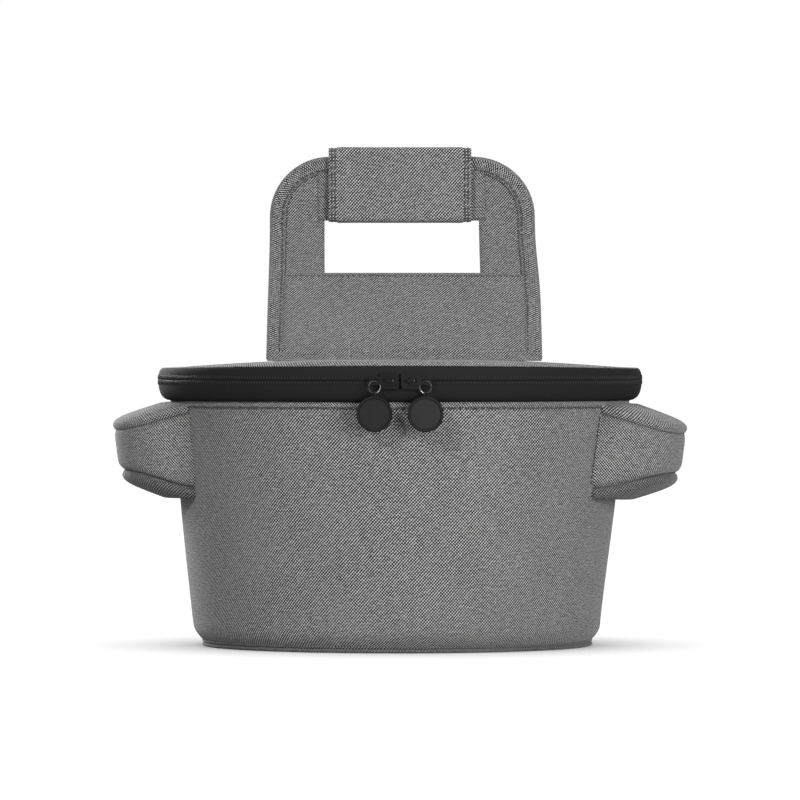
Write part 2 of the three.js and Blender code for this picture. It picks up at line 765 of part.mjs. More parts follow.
function sliderAssembly(side) {
  const assembly = group(
    piece(`${side}_slider`, sliderBody(), materials.metal),
    piece(`${side}_pull_tab`, pullTab(), materials.metal),
    piece(`${side}_jump_ring`, jumpRing(), materials.metal),
    piece(`${side}_pull_disc`, pullDisc(), materials.rubber),
  );
  assembly.position.set(0, -zipRadius, splitHeight);
  const run = group(assembly);
  const restAngle = (sliderLength + sliderNoseGap) / 2 / zipRadius;
  run.rotation.z = side === "left" ? -restAngle : restAngle;
  if (side === "right") assembly.scale.x = -1;
  return run;
}

const carrier = group(
  ...bagPieces(),
  earPocket("left"),
  earPocket("right"),
  group(
    ...lidPieces(),
    handle("front", "grip_hook_strip"),
    handle("rear", "grip_loop_strip"),
  ),
  sliderAssembly("left"),
  sliderAssembly("right"),
);

export default carrier;
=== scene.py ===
"""Looks of the casserole carrier: woven twill, zip, stitching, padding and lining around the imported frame.

Sizes are in millimetres and angles in degrees. A place round the bag is an angle from the front,
positive toward the right-hand ear pocket.
"""

import math

import bmesh
import bpy
import numpy as np
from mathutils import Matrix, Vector


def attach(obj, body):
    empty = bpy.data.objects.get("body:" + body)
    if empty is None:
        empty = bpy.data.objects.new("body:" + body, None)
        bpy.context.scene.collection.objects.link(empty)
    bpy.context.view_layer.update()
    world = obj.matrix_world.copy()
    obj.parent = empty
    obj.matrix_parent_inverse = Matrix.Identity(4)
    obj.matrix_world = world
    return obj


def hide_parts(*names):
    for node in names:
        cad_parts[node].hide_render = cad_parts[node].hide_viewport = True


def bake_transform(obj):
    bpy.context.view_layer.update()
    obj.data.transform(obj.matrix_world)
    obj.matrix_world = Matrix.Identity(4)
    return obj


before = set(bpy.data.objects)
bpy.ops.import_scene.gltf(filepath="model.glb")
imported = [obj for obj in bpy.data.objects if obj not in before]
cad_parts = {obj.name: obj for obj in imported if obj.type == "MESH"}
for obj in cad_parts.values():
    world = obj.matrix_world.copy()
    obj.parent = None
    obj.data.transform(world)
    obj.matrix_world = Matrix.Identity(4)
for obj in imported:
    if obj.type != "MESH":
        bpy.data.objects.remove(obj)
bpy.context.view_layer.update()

MM = 0.001
TINY = 1e-9
WEAVE = "weave"
FULL_TURN = np.linspace(-180, 180, 193)

# Bag wall and base
BASE_RADIUS = 119
RIM_RADIUS = 136.5
RIM_HEIGHT = 146.5
WALL_FOOT = 3.6
WALL_BOTTOM = WALL_FOOT - 1.5
WALL_TOP = RIM_HEIGHT - 0.2
WALL_TUCK = 4.6
WALL_TUCK_HEIGHT = 9
WALL_WAVE = 0.35
LEFT_FULLNESS = 3.2
FABRIC = 1.2
LINING = 0.8
LINING_INSET = 5.8
LINING_SHARE = 0.95
PIPING_CENTRE = 113.2
PIPING_RADIUS = 2.2
PIPING = 1.0
BASE_PANEL_RADIUS = 111.4
FLOOR_HEIGHT = 8.1
FLOOR_RADIUS = 111.5
HEM_HEIGHT = 3
HEM_NEAR = 0.3
HEM_FAR = 1.1

# Zip band
ZIP_RADIUS = 144.5
SPLIT_HEIGHT = RIM_HEIGHT + 12.7
TAPE = 1.0
TAPE_OUTSIDE = ZIP_RADIUS + TAPE / 2
TAPE_EDGE_GAP = 0.2
TAPE_TOP_RISE = 0.9
TOOTH_PITCH = 2.0
TOOTH_LENGTH = 3.2
TOOTH_WIDTH = 0.95
TOOTH_DEPTH = 1.9
TOOTH_MIDDLE = 1.35
HINGE_HALF_ANGLE = 35
SLIDER_BEVEL = 0.5

# Lid
LID_TOP = RIM_HEIGHT + 23.8
LID_EDGE_RADIUS = 142.6
LID_EDGE_HEIGHT = RIM_HEIGHT + 19.5
LID_FLAT_RADIUS = 104
LID_EDGE_POWER = 14
LID_LINING_POWER = 1.5
LID_SIDE_SAG = 4.8
LID_LEVEL_HALF = 60
LID_FRONT_RISE = 0.9
LID_STRIP_WIDTH = 7
LID_STRIP = 0.6
LID_STRIP_RISE = 0.35
LID_LIFT = 1.0
LID_LINING_DROP = 5.8
LID_LINING_RADIUS = 139.6

# Ear pockets
EAR_MIDDLE = RIM_HEIGHT - 29.2
EAR_HALF_WIDTH = 58
EAR_ROOT = 113.6
EAR_ROOT_SINK = 2
EAR_REACH = 56.3
EAR_LEAN = 1.5
EAR_SAG = 2.2
RIGHT_EAR_TURN = -4
LEFT_EAR_TURN = -1.7
EAR_ROOT_HALF = 22.5
EAR_END_HALF = 11.8
EAR_SQUARENESS = 2.5
EAR_PUFF = 11.4
EAR_TOP_REACH = 1.012
EAR_BOTTOM_REACH = 0.965
EAR_PUFF_SQUARENESS = 0.4
EAR_UNDERCUT = 22
EAR_PUFF_END = 87.5
EAR_TALLEST = 28.4
EAR_PANEL = 1.4
EAR_SEAM_ROUNDING = 6
EAR_BAND = 1.6
EAR_LINING_INSET = 3.4
EAR_LINING_SHARE = 0.75
WINDOW_HALF_WIDTH = 38
WINDOW_HALF_HEIGHT = 16
WINDOW_CORNER = 9
WINDOW_BINDING_WIDTH = 5
WINDOW_BINDING = 0.5

# Handles: SHEET_HALF and BINDING_HALF are half a thickness, the other halves half a width or length
HANDLE_HALF = 78.5
SEAM_OFFSET = 66
SEAM_HEIGHT = RIM_HEIGHT + 26.7
SEAM_RADIUS = 2.6
BAR_BOTTOM = RIM_HEIGHT + 108.5
HANDLE_TOP = RIM_HEIGHT + 146.2
BAR_OFFSET = 4.85
BEND_RADIUS = 28
ARCH_RADIUS = 36
SHEET_HALF = 2.2
EDGE_TRIM = 0.8
CUTOUT_BOTTOM = RIM_HEIGHT + 75
CUTOUT_HALF_WIDTH = 46.3
BINDING_WIDTH = 9.8
BINDING_STITCH = 7.8
BINDING_HALF = 3.2
BINDING = 0.8
PATCH_TOP = RIM_HEIGHT + 73.6
PATCH_THICKNESS = 0.9
PATCH_EDGE = 0.3
PATCH_CROWN = 0.35
HANDLE_SWAY = 0.5
HANDLE_SPREAD = 0.012
HANDLE_FLARE = 1.8
HANDLE_FOOT_FLARE = 2.2
BAR_SLEEVE_HALF = 49.5
BAR_SLEEVE = 0.7
FLANGE = 0.4

# The flange's rows on the lid, as (forward of the seam, above the lid), and its rows up the handle
FLANGE_ON_LID = ((7.5, 0.6), (5.2, 0.9), (3.8, 1.5))
FLANGE_ON_HANDLE = (0.6, 1.6)

# Grips
GRIP_HALF = 42.7
GRIP_BOTTOM = RIM_HEIGHT + 106.7
GRIP_TOP = RIM_HEIGHT + 151.9
GRIP_FRONT = 12.5
GRIP_BACK = 0.9
GRIP_CORNER = 3.2
GRIP_BACK_CORNER = 0.8
GRIP_SEAMS = (1.8, 4.4)
STRIP_HALF = 37.7
STRIP_BOTTOM = RIM_HEIGHT + 113.5
STRIP_TOP = RIM_HEIGHT + 141.2
STRIP_NEAR = 0.2
STRIP_FAR = 1.3

# Thread, and a thin dark row of thread along the binding's inner edge as a painted shadow line of its step
STITCH_LENGTH = 2.5
STITCH_GAP = 0.9
STITCH_WIDTH = 1.25
SHADOW_LINE_LENGTH = 6
SHADOW_LINE_WIDTH = 0.55

# Camera, fitted to the photograph's frame
CAMERA_PLACE = (0, -4125, 181.1)
CAMERA_AIM = (0, 0, 146.9)
CAMERA_LENS = 309.4

# Floor, brighter past this distance from the bag's middle, and dull up to a share of it
FLOOR_REACH = 200
FLOOR_NEAR = 0.58
FLOOR_ROUND = (1 / FLOOR_REACH, 1 / FLOOR_REACH, 0)
FLOOR_HALF_WIDTH = 6000
FLOOR_DROP = 0.05


# Numbers

def places(*parts):
    """Arrays of numbers side by side, as the coordinates of places."""
    return np.stack(np.broadcast_arrays(*parts), axis=-1)


def spans(stops, steps):
    """Values that run from each stop to the next in this many even steps."""
    runs = [np.linspace(a, b, n + 1)[1:] for a, b, n in zip(stops, stops[1:], steps)]
    return np.concatenate([stops[:1], *runs])


def smooth(edge0, edge1, x):
    """A soft step from 0 at one edge to 1 at the other."""
    t = np.clip((x - edge0) / (edge1 - edge0), 0, 1)
    return t * t * (3 - 2 * t)


def unit(vectors):
    """Vectors of length 1."""
    return vectors / np.maximum(np.linalg.norm(vectors, axis=-1, keepdims=True), TINY)


def lengths(path):
    """The distance along a path at each of its points."""
    steps = np.linalg.norm(np.diff(path, axis=0), axis=1)
    return np.concatenate([[0], np.cumsum(steps)])


def picked(at, run, path):
    """The places at these distances along a path."""
    return places(*(np.interp(at, run, column) for column in path.T))


def polar(points):
    """The angle from the front, in radians, and the distance from the bag's axis."""
    x, y = points[..., 0], points[..., 1]
    return np.arctan2(x, -y), np.hypot(x, y)


def outward(angle):
    """The way out from the bag's axis at an angle in radians."""
    return places(np.sin(angle), -np.cos(angle), 0)


def rounded(*corners):
    """A loop through round corners, each (x, y, radius, start), as (x, y, outward x, outward y)."""
    points = []
    for x, y, radius, start in corners:
        a = np.radians(np.linspace(start, start + 90, 10))
        out = places(np.cos(a), np.sin(a))
        points.append(np.concatenate([(x, y) + radius * out, out], axis=1))
    return np.concatenate(points)


def grid_cells(rows, columns, wrap):
    """The corners of each cell of a grid, as (row, column) and as numbers in the list of its points."""
    for i in range(rows - 1):
        for j in range(columns if wrap else columns - 1):
            cell = [(i, j), (i, j + 1), (i + 1, j + 1), (i + 1, j)]
            yield cell, [a * columns + b % columns for a, b in cell]


def grid_normals(points, wrap=False):
    """Which way each point of a grid faces: up the rows is on the left of along the columns."""
    up = np.gradient(points, axis=0)
    if wrap:
        across = np.roll(points, -1, 1) - np.roll(points, 1, 1)
    else:
        across = np.gradient(points, axis=1)
    return unit(np.cross(across, up))


def edge_mask(points, rows=(), columns=()):
    """Which points of a grid are in these rows or columns."""
    mask = np.zeros(points.shape[:2], bool)
    mask[list(rows), :] = True
    mask[:, list(columns)] = True
    return mask


# Meshes, as shapes of (points, faces, weave places at each face corner)

def make(name, shape, material):
    """An object from a shape in mm."""
    points, faces, weave = shape
    mesh = bpy.data.meshes.new(name)
    mesh.from_pydata((np.asarray(points, float) * MM).tolist(), [], faces)
    layer = mesh.uv_layers.new(name=WEAVE)
    layer.data.foreach_set("uv", (np.asarray(weave, float) * MM).ravel())
    bm = bmesh.new()
    bm.from_mesh(mesh)
    loose = [v for v in bm.verts if not v.link_faces]
    bmesh.ops.delete(bm, geom=loose, context="VERTS")
    bmesh.ops.remove_doubles(bm, verts=bm.verts, dist=0.001 * MM)
    bmesh.ops.recalc_face_normals(bm, faces=bm.faces)
    bm.to_mesh(mesh)
    bm.free()
    mesh.shade_smooth()
    mesh.materials.append(material)
    obj = bpy.data.objects.new(name, mesh)
    bpy.context.scene.collection.objects.link(obj)
    return obj


def slab(outer, inner, weave, wrap=False, keep=None):
    """A closed sheet between two grids of points; keep says which cells of the grid it has."""
    rows, columns = outer.shape[:2]
    count = rows * columns
    faces, corners, border = [], [], {}
    for cell, ids in grid_cells(rows, columns, wrap):
        if keep is not None and not keep[cell[0]]:
            continue
        spots = [weave[a, b] for a, b in cell]
        faces += [ids, [k + count for k in reversed(ids)]]
        corners += spots + spots[::-1]
        for n in range(4):
            m = (n + 1) % 4
            border[ids[n], ids[m]] = spots[n], spots[m]
    points = np.concatenate([outer.reshape(-1, 3), inner.reshape(-1, 3)])
    depth = np.linalg.norm(points[:count] - points[count:], axis=1)
    for (a, b), (p, q) in border.items():
        if (b, a) not in border:
            away = unit((q - p)[::-1] * [1, -1])
            faces.append([b, a, a + count, b + count])
            corners += [q, p, p + depth[a] * away, q + depth[b] * away]
    return points, faces, corners


def backed(outer, thickness, weave, wrap=False):
    """A closed sheet with a grid as its outside."""
    return slab(outer, outer - thickness * grid_normals(outer, wrap), weave, wrap)


def studs(middles, longs, ups, size):
    """Many small rounded pegs in one shape: size is (along longs, across, along ups)."""
    length, width, height = size
    sides = 6
    along = np.array([-0.5, -0.4, 0, 0.4, 0.5]) * length
    swell = np.array([0.35, 0.85, 1, 0.85, 0.35]) / 2
    ring = np.arange(sides)
    turn = ring * 2 * math.pi / sides
    faces, weave, points = [], [], []
    for middle, long, cross, up in zip(middles, longs, np.cross(ups, longs), ups):
        start = len(points) * sides
        for a, s in zip(along, swell):
            offset = np.outer(np.cos(turn) * width * s, cross) + np.outer(np.sin(turn) * height * s, up)
            points.append(middle + a * long + offset)
        for cell, ids in grid_cells(len(along), sides, wrap=True):
            faces.append([start + k for k in ids])
            weave += [(along[p], q) for p, q in cell]
        faces += [(start + ring[::-1]).tolist(), (start + (len(along) - 1) * sides + ring).tolist()]
        weave += [(along[0], 0)] * sides + [(along[-1], 0)] * sides
    return np.concatenate(points), faces, weave


def stitch_row(path, normals, length=STITCH_LENGTH, width=STITCH_WIDTH):
    """A row of stitches along a path on a surface."""
    run = lengths(path)
    count = max(int(run[-1] / (length + STITCH_GAP)), 1)
    at = (np.arange(count) + 0.5) * run[-1] / count
    longs = unit(picked(at + length / 3, run, path) - picked(at - length / 3, run, path))
    ups = picked(at, run, normals)
    ups = unit(ups - longs * np.sum(ups * longs, axis=1, keepdims=True))
    return studs(picked(at, run, path), longs, ups, (length, width, width / 2))


def join(*shapes):
    """Several shapes as one."""
    points, faces, weave, start = [], [], [], 0
    for p, f, w in shapes:
        points.append(p)
        faces += [[k + start for k in face] for face in f]
        weave += list(w)
        start += len(p)
    return np.concatenate(points), faces, weave


def turned(shape, degrees):
    """A shape turned about the bag's upright axis."""
    points, faces, weave = shape
    c, s = math.cos(math.radians(degrees)), math.sin(math.radians(degrees))
    return points @ np.array([[c, s, 0], [-s, c, 0], [0, 0, 1]]), faces, weave


def reflected(shape):
    """A shape from the front of the bag as it is at the back."""
    points, faces, weave = shape
    return points * [1, -1, 1], faces, np.asarray(weave) * [-1, 1]


def as_made(shape):
    """A shape from the front of the bag, left there."""
    return shape


def around(profile, degrees):
    """The grid that a (radius, height) profile sweeps over these angles from the front."""
    a = np.radians(degrees)
    r, z = profile[:, :1], profile[:, 1:]
    return places(r * np.sin(a), -r * np.cos(a), z)


def swept_weave(profile, degrees):
    """Weave places for a swept grid: along the sweep and up the profile."""
    return places(np.radians(degrees) * profile[:, 0].mean(), lengths(profile)[:, None])


def swept(profile, thickness, degrees=FULL_TURN, shift=None, keep=None, flat=False):
    """A sheet swept round the bag with its profile outside; a flat one's weave doesn't go round."""
    whole = np.isclose(degrees[-1] - degrees[0], 360)
    outer = around(profile, degrees[:-1] if whole else degrees)
    if shift is not None:
        outer = outer + shift(outer)
    normals = grid_normals(outer, whole)
    normals[profile[:, 0] < 1e-6] = [0, 0, np.sign(normals[..., 2].mean())]
    weave = around(profile, degrees)[..., :2] if flat else swept_weave(profile, degrees)
    return slab(outer, outer - thickness * normals, weave, whole, keep)


def inflate(points, pinned, pressure, limit, wrap=False, frames=16):
    """A grid that a short cloth simulation blows out from its pinned points, up to a limit."""
    faces = [ids for _, ids in grid_cells(*points.shape[:2], wrap)]
    mesh = bpy.data.meshes.new("cloth")
    mesh.from_pydata((points.reshape(-1, 3) * MM).tolist(), [], faces)
    cloth = bpy.data.objects.new("cloth", mesh)
    scene = bpy.context.scene
    scene.collection.objects.link(cloth)
    group = cloth.vertex_groups.new(name="pin")
    group.add(np.flatnonzero(pinned.ravel()).tolist(), 1, "REPLACE")
    modifier = cloth.modifiers.new("cloth", "CLOTH")
    settings = modifier.settings
    settings.quality = 5
    settings.mass = 0.15
    settings.tension_stiffness = 25
    settings.compression_stiffness = 25
    settings.shear_stiffness = 10
    settings.bending_stiffness = 0.6
    settings.use_pressure = True
    settings.uniform_pressure_force = pressure
    settings.effector_weights.gravity = 0
    settings.vertex_group_mass = "pin"
    modifier.point_cache.frame_end = frames
    for number in range(1, frames + 1):
        scene.frame_set(number)
    evaluated = cloth.evaluated_get(bpy.context.evaluated_depsgraph_get())
    moved = np.array([v.co for v in evaluated.data.vertices]).reshape(points.shape) / MM
    scene.frame_set(1)
    bpy.data.objects.remove(cloth)
    bpy.data.meshes.remove(mesh)
    offset = moved - points
    far = np.maximum(np.linalg.norm(offset, axis=-1, keepdims=True), TINY)
    return points + offset * (limit * np.tanh(far / limit) / far)


# Material parts

def socket_of(tree, kind, inputs=None, out=0, **settings):
    """One node's output: inputs are values, or other nodes' outputs, by name or place."""
    node = tree.nodes.new(kind)
    for key, value in settings.items():
        setattr(node, key, value)
    for slot, value in (inputs or {}).items():
        if isinstance(value, bpy.types.NodeSocket):
            tree.links.new(value, node.inputs[slot])
        else:
            node.inputs[slot].default_value = value
    return node.outputs[out]


def new_material(name, roughness, sheen=0.0, metallic=0.0, specular=0.5):
    """An empty principled material, with its node tree and shader."""
    material = bpy.data.materials.new(name)
    material.use_nodes = True
    tree = material.node_tree
    shader = tree.nodes["Principled BSDF"]
    values = {"Roughness": roughness, "Sheen Weight": sheen, "Sheen Roughness": 0.5, "Metallic": metallic,
              "Specular IOR Level": specular}
    for socket, value in values.items():
        shader.inputs[socket].default_value = value
    return material, tree, shader


def in_mm(tree, place):
    """Coordinates in metres as mm."""
    return socket_of(tree, "ShaderNodeVectorMath", {0: place, "Scale": 1 / MM}, operation="SCALE")


def weave_place(tree):
    """Weave coordinates in mm."""
    return in_mm(tree, socket_of(tree, "ShaderNodeUVMap", uv_map=WEAVE))


def object_place(tree):
    """Coordinates in the piece itself, in mm."""
    return in_mm(tree, socket_of(tree, "ShaderNodeTexCoord", out="Object"))


def wave(tree, place, across, up):
    """A sine with this many cycles in a mm across and up the weave."""
    spin = tuple(2 * math.pi * x for x in (across, up, 0))
    inputs = {0: place, 1: spin}
    phase = socket_of(tree, "ShaderNodeVectorMath", inputs, out="Value", operation="DOT_PRODUCT")
    return socket_of(tree, "ShaderNodeMath", {0: phase}, operation="SINE")


def noise(tree, place, scale, detail=2.0, stretch=None):
    """Soft noise around 0, with this many cells in a mm."""
    vector = place
    if stretch is not None:
        vector = socket_of(tree, "ShaderNodeVectorMath", {0: place, 1: stretch}, operation="MULTIPLY")
    value = socket_of(tree, "ShaderNodeTexNoise", {"Vector": vector, "Scale": scale, "Detail": detail})
    return socket_of(tree, "ShaderNodeMath", {0: value, 1: 0.5}, operation="SUBTRACT")


def blend_values(tree, parts, base):
    """base plus each value times its weight."""
    total = base
    for value, weight in parts:
        total = socket_of(tree, "ShaderNodeMath", {0: value, 1: weight, 2: total}, operation="MULTIPLY_ADD")
    return total


def ramp(tree, value, stops):
    """A colour ramp through (position, grey) stops."""
    node = tree.nodes.new("ShaderNodeValToRGB")
    elements = node.color_ramp.elements
    while len(elements) < len(stops):
        elements.new(0.5)
    for element, (position, grey) in zip(elements, stops):
        element.position = position
        element.color = (grey, grey, grey, 1)
    tree.links.new(value, node.inputs["Fac"])
    return node.outputs["Color"]


def finish_material(tree, shader, colour, height, depth):
    """Joins a colour and a bump of this depth in mm to the shader."""
    tree.links.new(colour, shader.inputs["Base Color"])
    bump = {"Height": height, "Strength": 1.0, "Distance": depth * MM}
    tree.links.new(socket_of(tree, "ShaderNodeBump", bump), shader.inputs["Normal"])


def layered(name, place_of, layers, greys, depth, **gloss):
    """A material of layers, each ((its function, its values), weight), with greys by height and a bump."""
    material, tree, shader = new_material(name, **gloss)
    place = place_of(tree)
    parts = [(kind(tree, place, *values), weight) for (kind, *values), weight in layers]
    height = blend_values(tree, parts, 0.5)
    finish_material(tree, shader, ramp(tree, height, greys), height, depth)
    return material


# Materials

def twill(name, shade=1.0, lean=1, fine=1.0):
    """Salt-and-pepper twill: light floats in steep diagonal rows on dark yarn; a shade below 1 gives a
    darker copy that paints shade.
    """
    rows = wave, 0.55 * fine, -0.483 * fine * lean
    floats = wave, 0.54 * fine, 0.565 * fine * lean
    slub = noise, 0.6, 2.0, (0.35, 1.6, 1)
    grain = noise, 0.85, 1.0
    patch = noise, 0.03
    layers = [(rows, 0.5), (floats, 0.38), (slub, 0.75), (grain, 0.9), (patch, 0.15)]
    greys = [(0.36, 0.0004 * shade), (0.56, 0.006 * shade), (0.76, 0.146 * shade)]
    return layered(name, weave_place, layers, greys, 0.12, roughness=0.9, sheen=0.05, specular=0.15)


def tape_cloth():
    """Black zip tape: fine upright ribs crossed by a tighter weft."""
    ribs = wave, 0.9, 0
    weft = wave, 0.25, 1.3
    grain = noise, 1.5
    layers = [(ribs, 0.2), (weft, 0.15), (grain, 0.5)]
    greys = [(0.1, 0.0025), (0.9, 0.0065)]
    return layered("zip_tape", weave_place, layers, greys, 0.1, roughness=0.85, specular=0.04)


def coil_plastic():
    """Moulded black plastic of the zip's teeth, a little worn on top."""
    scuff = noise, 0.6
    greys = [(0.2, 0.002), (0.8, 0.005)]
    return layered("zip_coil", weave_place, [(scuff, 0.8)], greys, 0.05, roughness=0.5, specular=0.07)


def thread():
    """Twisted dark sewing thread."""
    twist = wave, 1.1, 0.33
    layers = [(twist, 0.3)]
    greys = [(0.2, 0.004), (0.8, 0.015)]
    return layered("thread", weave_place, layers, greys, 0.1, roughness=0.85, sheen=0.1, specular=0.3)


def lining_cloth():
    """Plain grey lining with a fine even weave."""
    warp = wave, 1.1, 0
    weft = wave, 0, 1.1
    crumple = noise, 0.08
    layers = [(warp, 0.12), (weft, 0.12), (crumple, 0.5)]
    greys = [(0.2, 0.12), (0.8, 0.15)]
    return layered("lining", weave_place, layers, greys, 0.08, roughness=0.6, sheen=0.15, specular=0.4)


def rubber():
    """Matt black rubber with a fine moulded grain."""
    grain = noise, 1.6
    cloud = noise, 0.12
    layers = [(grain, 0.5), (cloud, 0.4)]
    greys = [(0.2, 0.0015), (0.8, 0.004)]
    return layered("rubber", object_place, layers, greys, 0.04, roughness=0.45, specular=0.075)


def black_metal():
    """Satin black enamel on cast metal."""
    peel = noise, 0.9
    greys = [(0.2, 0.001), (0.8, 0.003)]
    return layered("black_metal", object_place, [(peel, 0.6)], greys, 0.03, roughness=0.18, specular=0.14)


def steel_wire():
    """Dull drawn steel."""
    drawn = noise, 1.2
    greys = [(0.2, 0.04), (0.8, 0.08)]
    return layered("steel_wire", object_place, [(drawn, 0.6)], greys, 0.02, roughness=0.35, metallic=1.0)


def hook_tape(name, spacing):
    """Black press tape: small hooks, or a denser felt of loops."""
    across = wave, spacing, 0
    up = wave, 0, spacing
    fuzz = noise, 2.5
    layers = [(across, 0.2), (up, 0.2), (fuzz, 0.6)]
    greys = [(0.2, 0.002), (0.8, 0.009)]
    return layered(name, weave_place, layers, greys, 0.4, roughness=0.95, sheen=0.03, specular=0.1)


TWILL = twill("twill")
CROSS_TWILL = twill("cross_twill", lean=-1, fine=1.1)
# Darker copies of the twill for the handles: painted shade on their leaning sheets.
PAINTED_SHADE_HANDLE_TWILL = twill("painted_shade_handle_twill", shade=0.85, fine=1.12)
PAINTED_SHADE_EDGE_TWILL = twill("painted_shade_handle_edge_twill", shade=0.85, lean=-1, fine=1.12)
# A darker copy of the twill: painted shade for the pockets' undersides and the base roll.
PAINTED_SHADE_TWILL = twill("painted_shade_twill", shade=0.55)
TAPE_CLOTH = tape_cloth()
COIL = coil_plastic()
THREAD = thread()
LINING_CLOTH = lining_cloth()
RUBBER = rubber()
METAL = black_metal()
WIRE = steel_wire()
HOOKS = hook_tape("hook_tape", 0.7)
LOOPS = hook_tape("loop_tape", 0.35)


# Pieces

def round_cut(radius, held, rests_on):
    """The flat size of a round sheet of cloth."""
    side = 2 * radius * MM
    area = math.pi * (radius * MM) ** 2
    return {"flat": (side, side), "held": held, "rests_on": [rests_on], "area": area}


def strip_cut(width, length, rests_on, share=1.0):
    """The flat size of a sheet of cloth cut from a strip, of which a share is left."""
    flat = (width * MM, length * MM)
    area = share * flat[0] * flat[1]
    return {"flat": flat, "held": "stretched", "rests_on": [rests_on], "area": area}


def add(name, shape, material, body, replaces=(), slot="twill", fill=None, cut=None):
    """A piece that rides on a body, hiding the CAD nodes that it stands for; slot is not used."""
    obj = make(name, shape, material)
    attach(obj, body)
    if replaces:
        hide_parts(*replaces)


# Bag body

def wall_radius(z):
    """The wall's outside at a height."""
    return BASE_RADIUS + (RIM_RADIUS - BASE_RADIUS) * z / RIM_HEIGHT


def wall_profile(inset, low, high, count=40):
    """The wall in section, rolled under at its foot."""
    z = low + (high - low) * np.linspace(0, 1, count) ** 1.4
    under = np.clip(1 - (z - WALL_FOOT) / WALL_TUCK_HEIGHT, 0, 1.25)
    return places(wall_radius(z) - WALL_TUCK * under ** 2 - inset, z)


def fuller(points):
    """The body's left side stands out a little more toward its foot."""
    side = smooth(0, BASE_RADIUS, -points[..., 0])
    low = 1 - np.clip(points[..., 2] / RIM_HEIGHT, 0, 1) ** 2
    return places(-LEFT_FULLNESS * side * low, 0, 0)


def soft_wall(points):
    """The slight waves of soft cloth over foam, which die out at the rim and the foot."""
    angle = polar(points)[0]
    z = points[..., 2]
    ripples = np.sin(3 * angle + 0.6) + 0.6 * np.sin(7 * angle + z / 40) + 0.4 * np.sin(z / 17 + 2 * angle)
    size = WALL_WAVE * ripples * smooth(RIM_HEIGHT, RIM_HEIGHT - 40, z) * smooth(0, 20, z)
    return outward(angle) * size[..., None] + fuller(points)


WINDOW_ANGLE = math.degrees(math.asin(WINDOW_HALF_WIDTH / wall_radius(EAR_MIDDLE)))
WINDOW_EDGES = [-90 - WINDOW_ANGLE, -90 + WINDOW_ANGLE, 90 - WINDOW_ANGLE, 90 + WINDOW_ANGLE]
WALL_ANGLES = spans([-180, *WINDOW_EDGES, 180], [39, 19, 79, 19, 39])


def wall_with_windows(profile):
    """Which cells of a wall grid the ear windows leave."""
    middle_z = (profile[1:, 1] + profile[:-1, 1]) / 2
    middle_angle = (WALL_ANGLES[1:] + WALL_ANGLES[:-1]) / 2
    high = np.abs(middle_z - EAR_MIDDLE) < WINDOW_HALF_HEIGHT
    wide = np.abs(np.abs(middle_angle) - 90) < WINDOW_ANGLE
    return ~(high[:, None] & wide[None, :])


def build_wall():
    """The padded wall and its lining, which turns out over the rim."""
    profile = wall_profile(0, WALL_BOTTOM, WALL_TOP)
    wall = swept(profile, FABRIC, WALL_ANGLES, soft_wall, wall_with_windows(profile))
    add("wall_shell", wall, TWILL, "bag", ["body_wall", "wall_foam"], fill=0.8)

    turn_out = [
        [RIM_RADIUS - LINING_INSET + 0.8, RIM_HEIGHT + 0.7],
        [RIM_RADIUS - 0.4, RIM_HEIGHT + 1.1],
    ]
    lining = np.concatenate([wall_profile(LINING_INSET, FLOOR_HEIGHT, RIM_HEIGHT), turn_out])
    sheet = swept(lining, LINING, WALL_ANGLES, fuller, wall_with_windows(lining))
    round_length = 2 * math.pi * lining[:, 0].mean()
    cut = strip_cut(round_length, lengths(lining)[-1], "wall_shell", LINING_SHARE)
    add("inside_lining", sheet, LINING_CLOTH, "bag", ["wall_lining"], "lining", cut=cut)


def build_base():
    """The floor inside, the base under it and the roll of cloth round its edge."""
    r = np.linspace(FLOOR_RADIUS, 0, 14)
    floor = places(r, FLOOR_HEIGHT + LINING + 0.8 * smooth(60, FLOOR_RADIUS, r))
    cut = round_cut(FLOOR_RADIUS, "laid", "base_cloth")
    sheet = swept(floor, LINING, flat=True)
    add("floor_cloth", sheet, LINING_CLOTH, "bag", ["floor_lining"], "lining", cut=cut)

    r = np.linspace(0, BASE_PANEL_RADIUS, 14)
    under = places(r, 0.02 + 0.4 * smooth(100, 0, r))
    cut = round_cut(BASE_PANEL_RADIUS, "stretched", "base_roll")
    sheet = swept(under, FABRIC, shift=fuller, flat=True)
    add("base_cloth", sheet, TWILL, "bag", ["base_panel", "base_board", "base_foam"], cut=cut)

    turn = np.radians(np.linspace(80, -80, 7))
    out = PIPING_CENTRE + PIPING_RADIUS * (0.35 + 0.65 * np.cos(turn))
    bulge = 0.5 * PIPING_RADIUS * np.sin(turn)
    halves = [places(out, 2 * PIPING_RADIUS * middle + bulge) for middle in (0.75, 0.25)]
    roll = np.concatenate(halves)[::-1]
    # The base roll is in the darker twill: painted shade under the wall's overhang.
    add("base_roll", swept(roll, PIPING, shift=fuller), PAINTED_SHADE_TWILL, "bag", ["base_piping"])


def build_hem():
    """The strip sewn round the rim, and its thread."""
    low = RIM_HEIGHT - HEM_HEIGHT
    z = np.linspace(low, RIM_HEIGHT + 0.2, 6)
    hem = places(wall_radius(z) + HEM_FAR - 0.5 * smooth(low + 1, low, z), z)
    add("rim_hem_strip", swept(hem, HEM_FAR - HEM_NEAR), CROSS_TWILL, "bag", ["rim_hem"])
    seam = around(np.array([[wall_radius(low) + 0.35, low - 0.5]]), FULL_TURN)[0]
    add("rim_stitches", stitch_row(seam, unit(seam * [1, 1, 0])), THREAD, "bag")


# Zip

ZIP_REACH = 180 - HINGE_HALF_ANGLE
ZIP_ANGLES = np.linspace(-ZIP_REACH, ZIP_REACH, 161)
HINGE_ANGLES = np.linspace(ZIP_REACH, 180 + HINGE_HALF_ANGLE, 41)


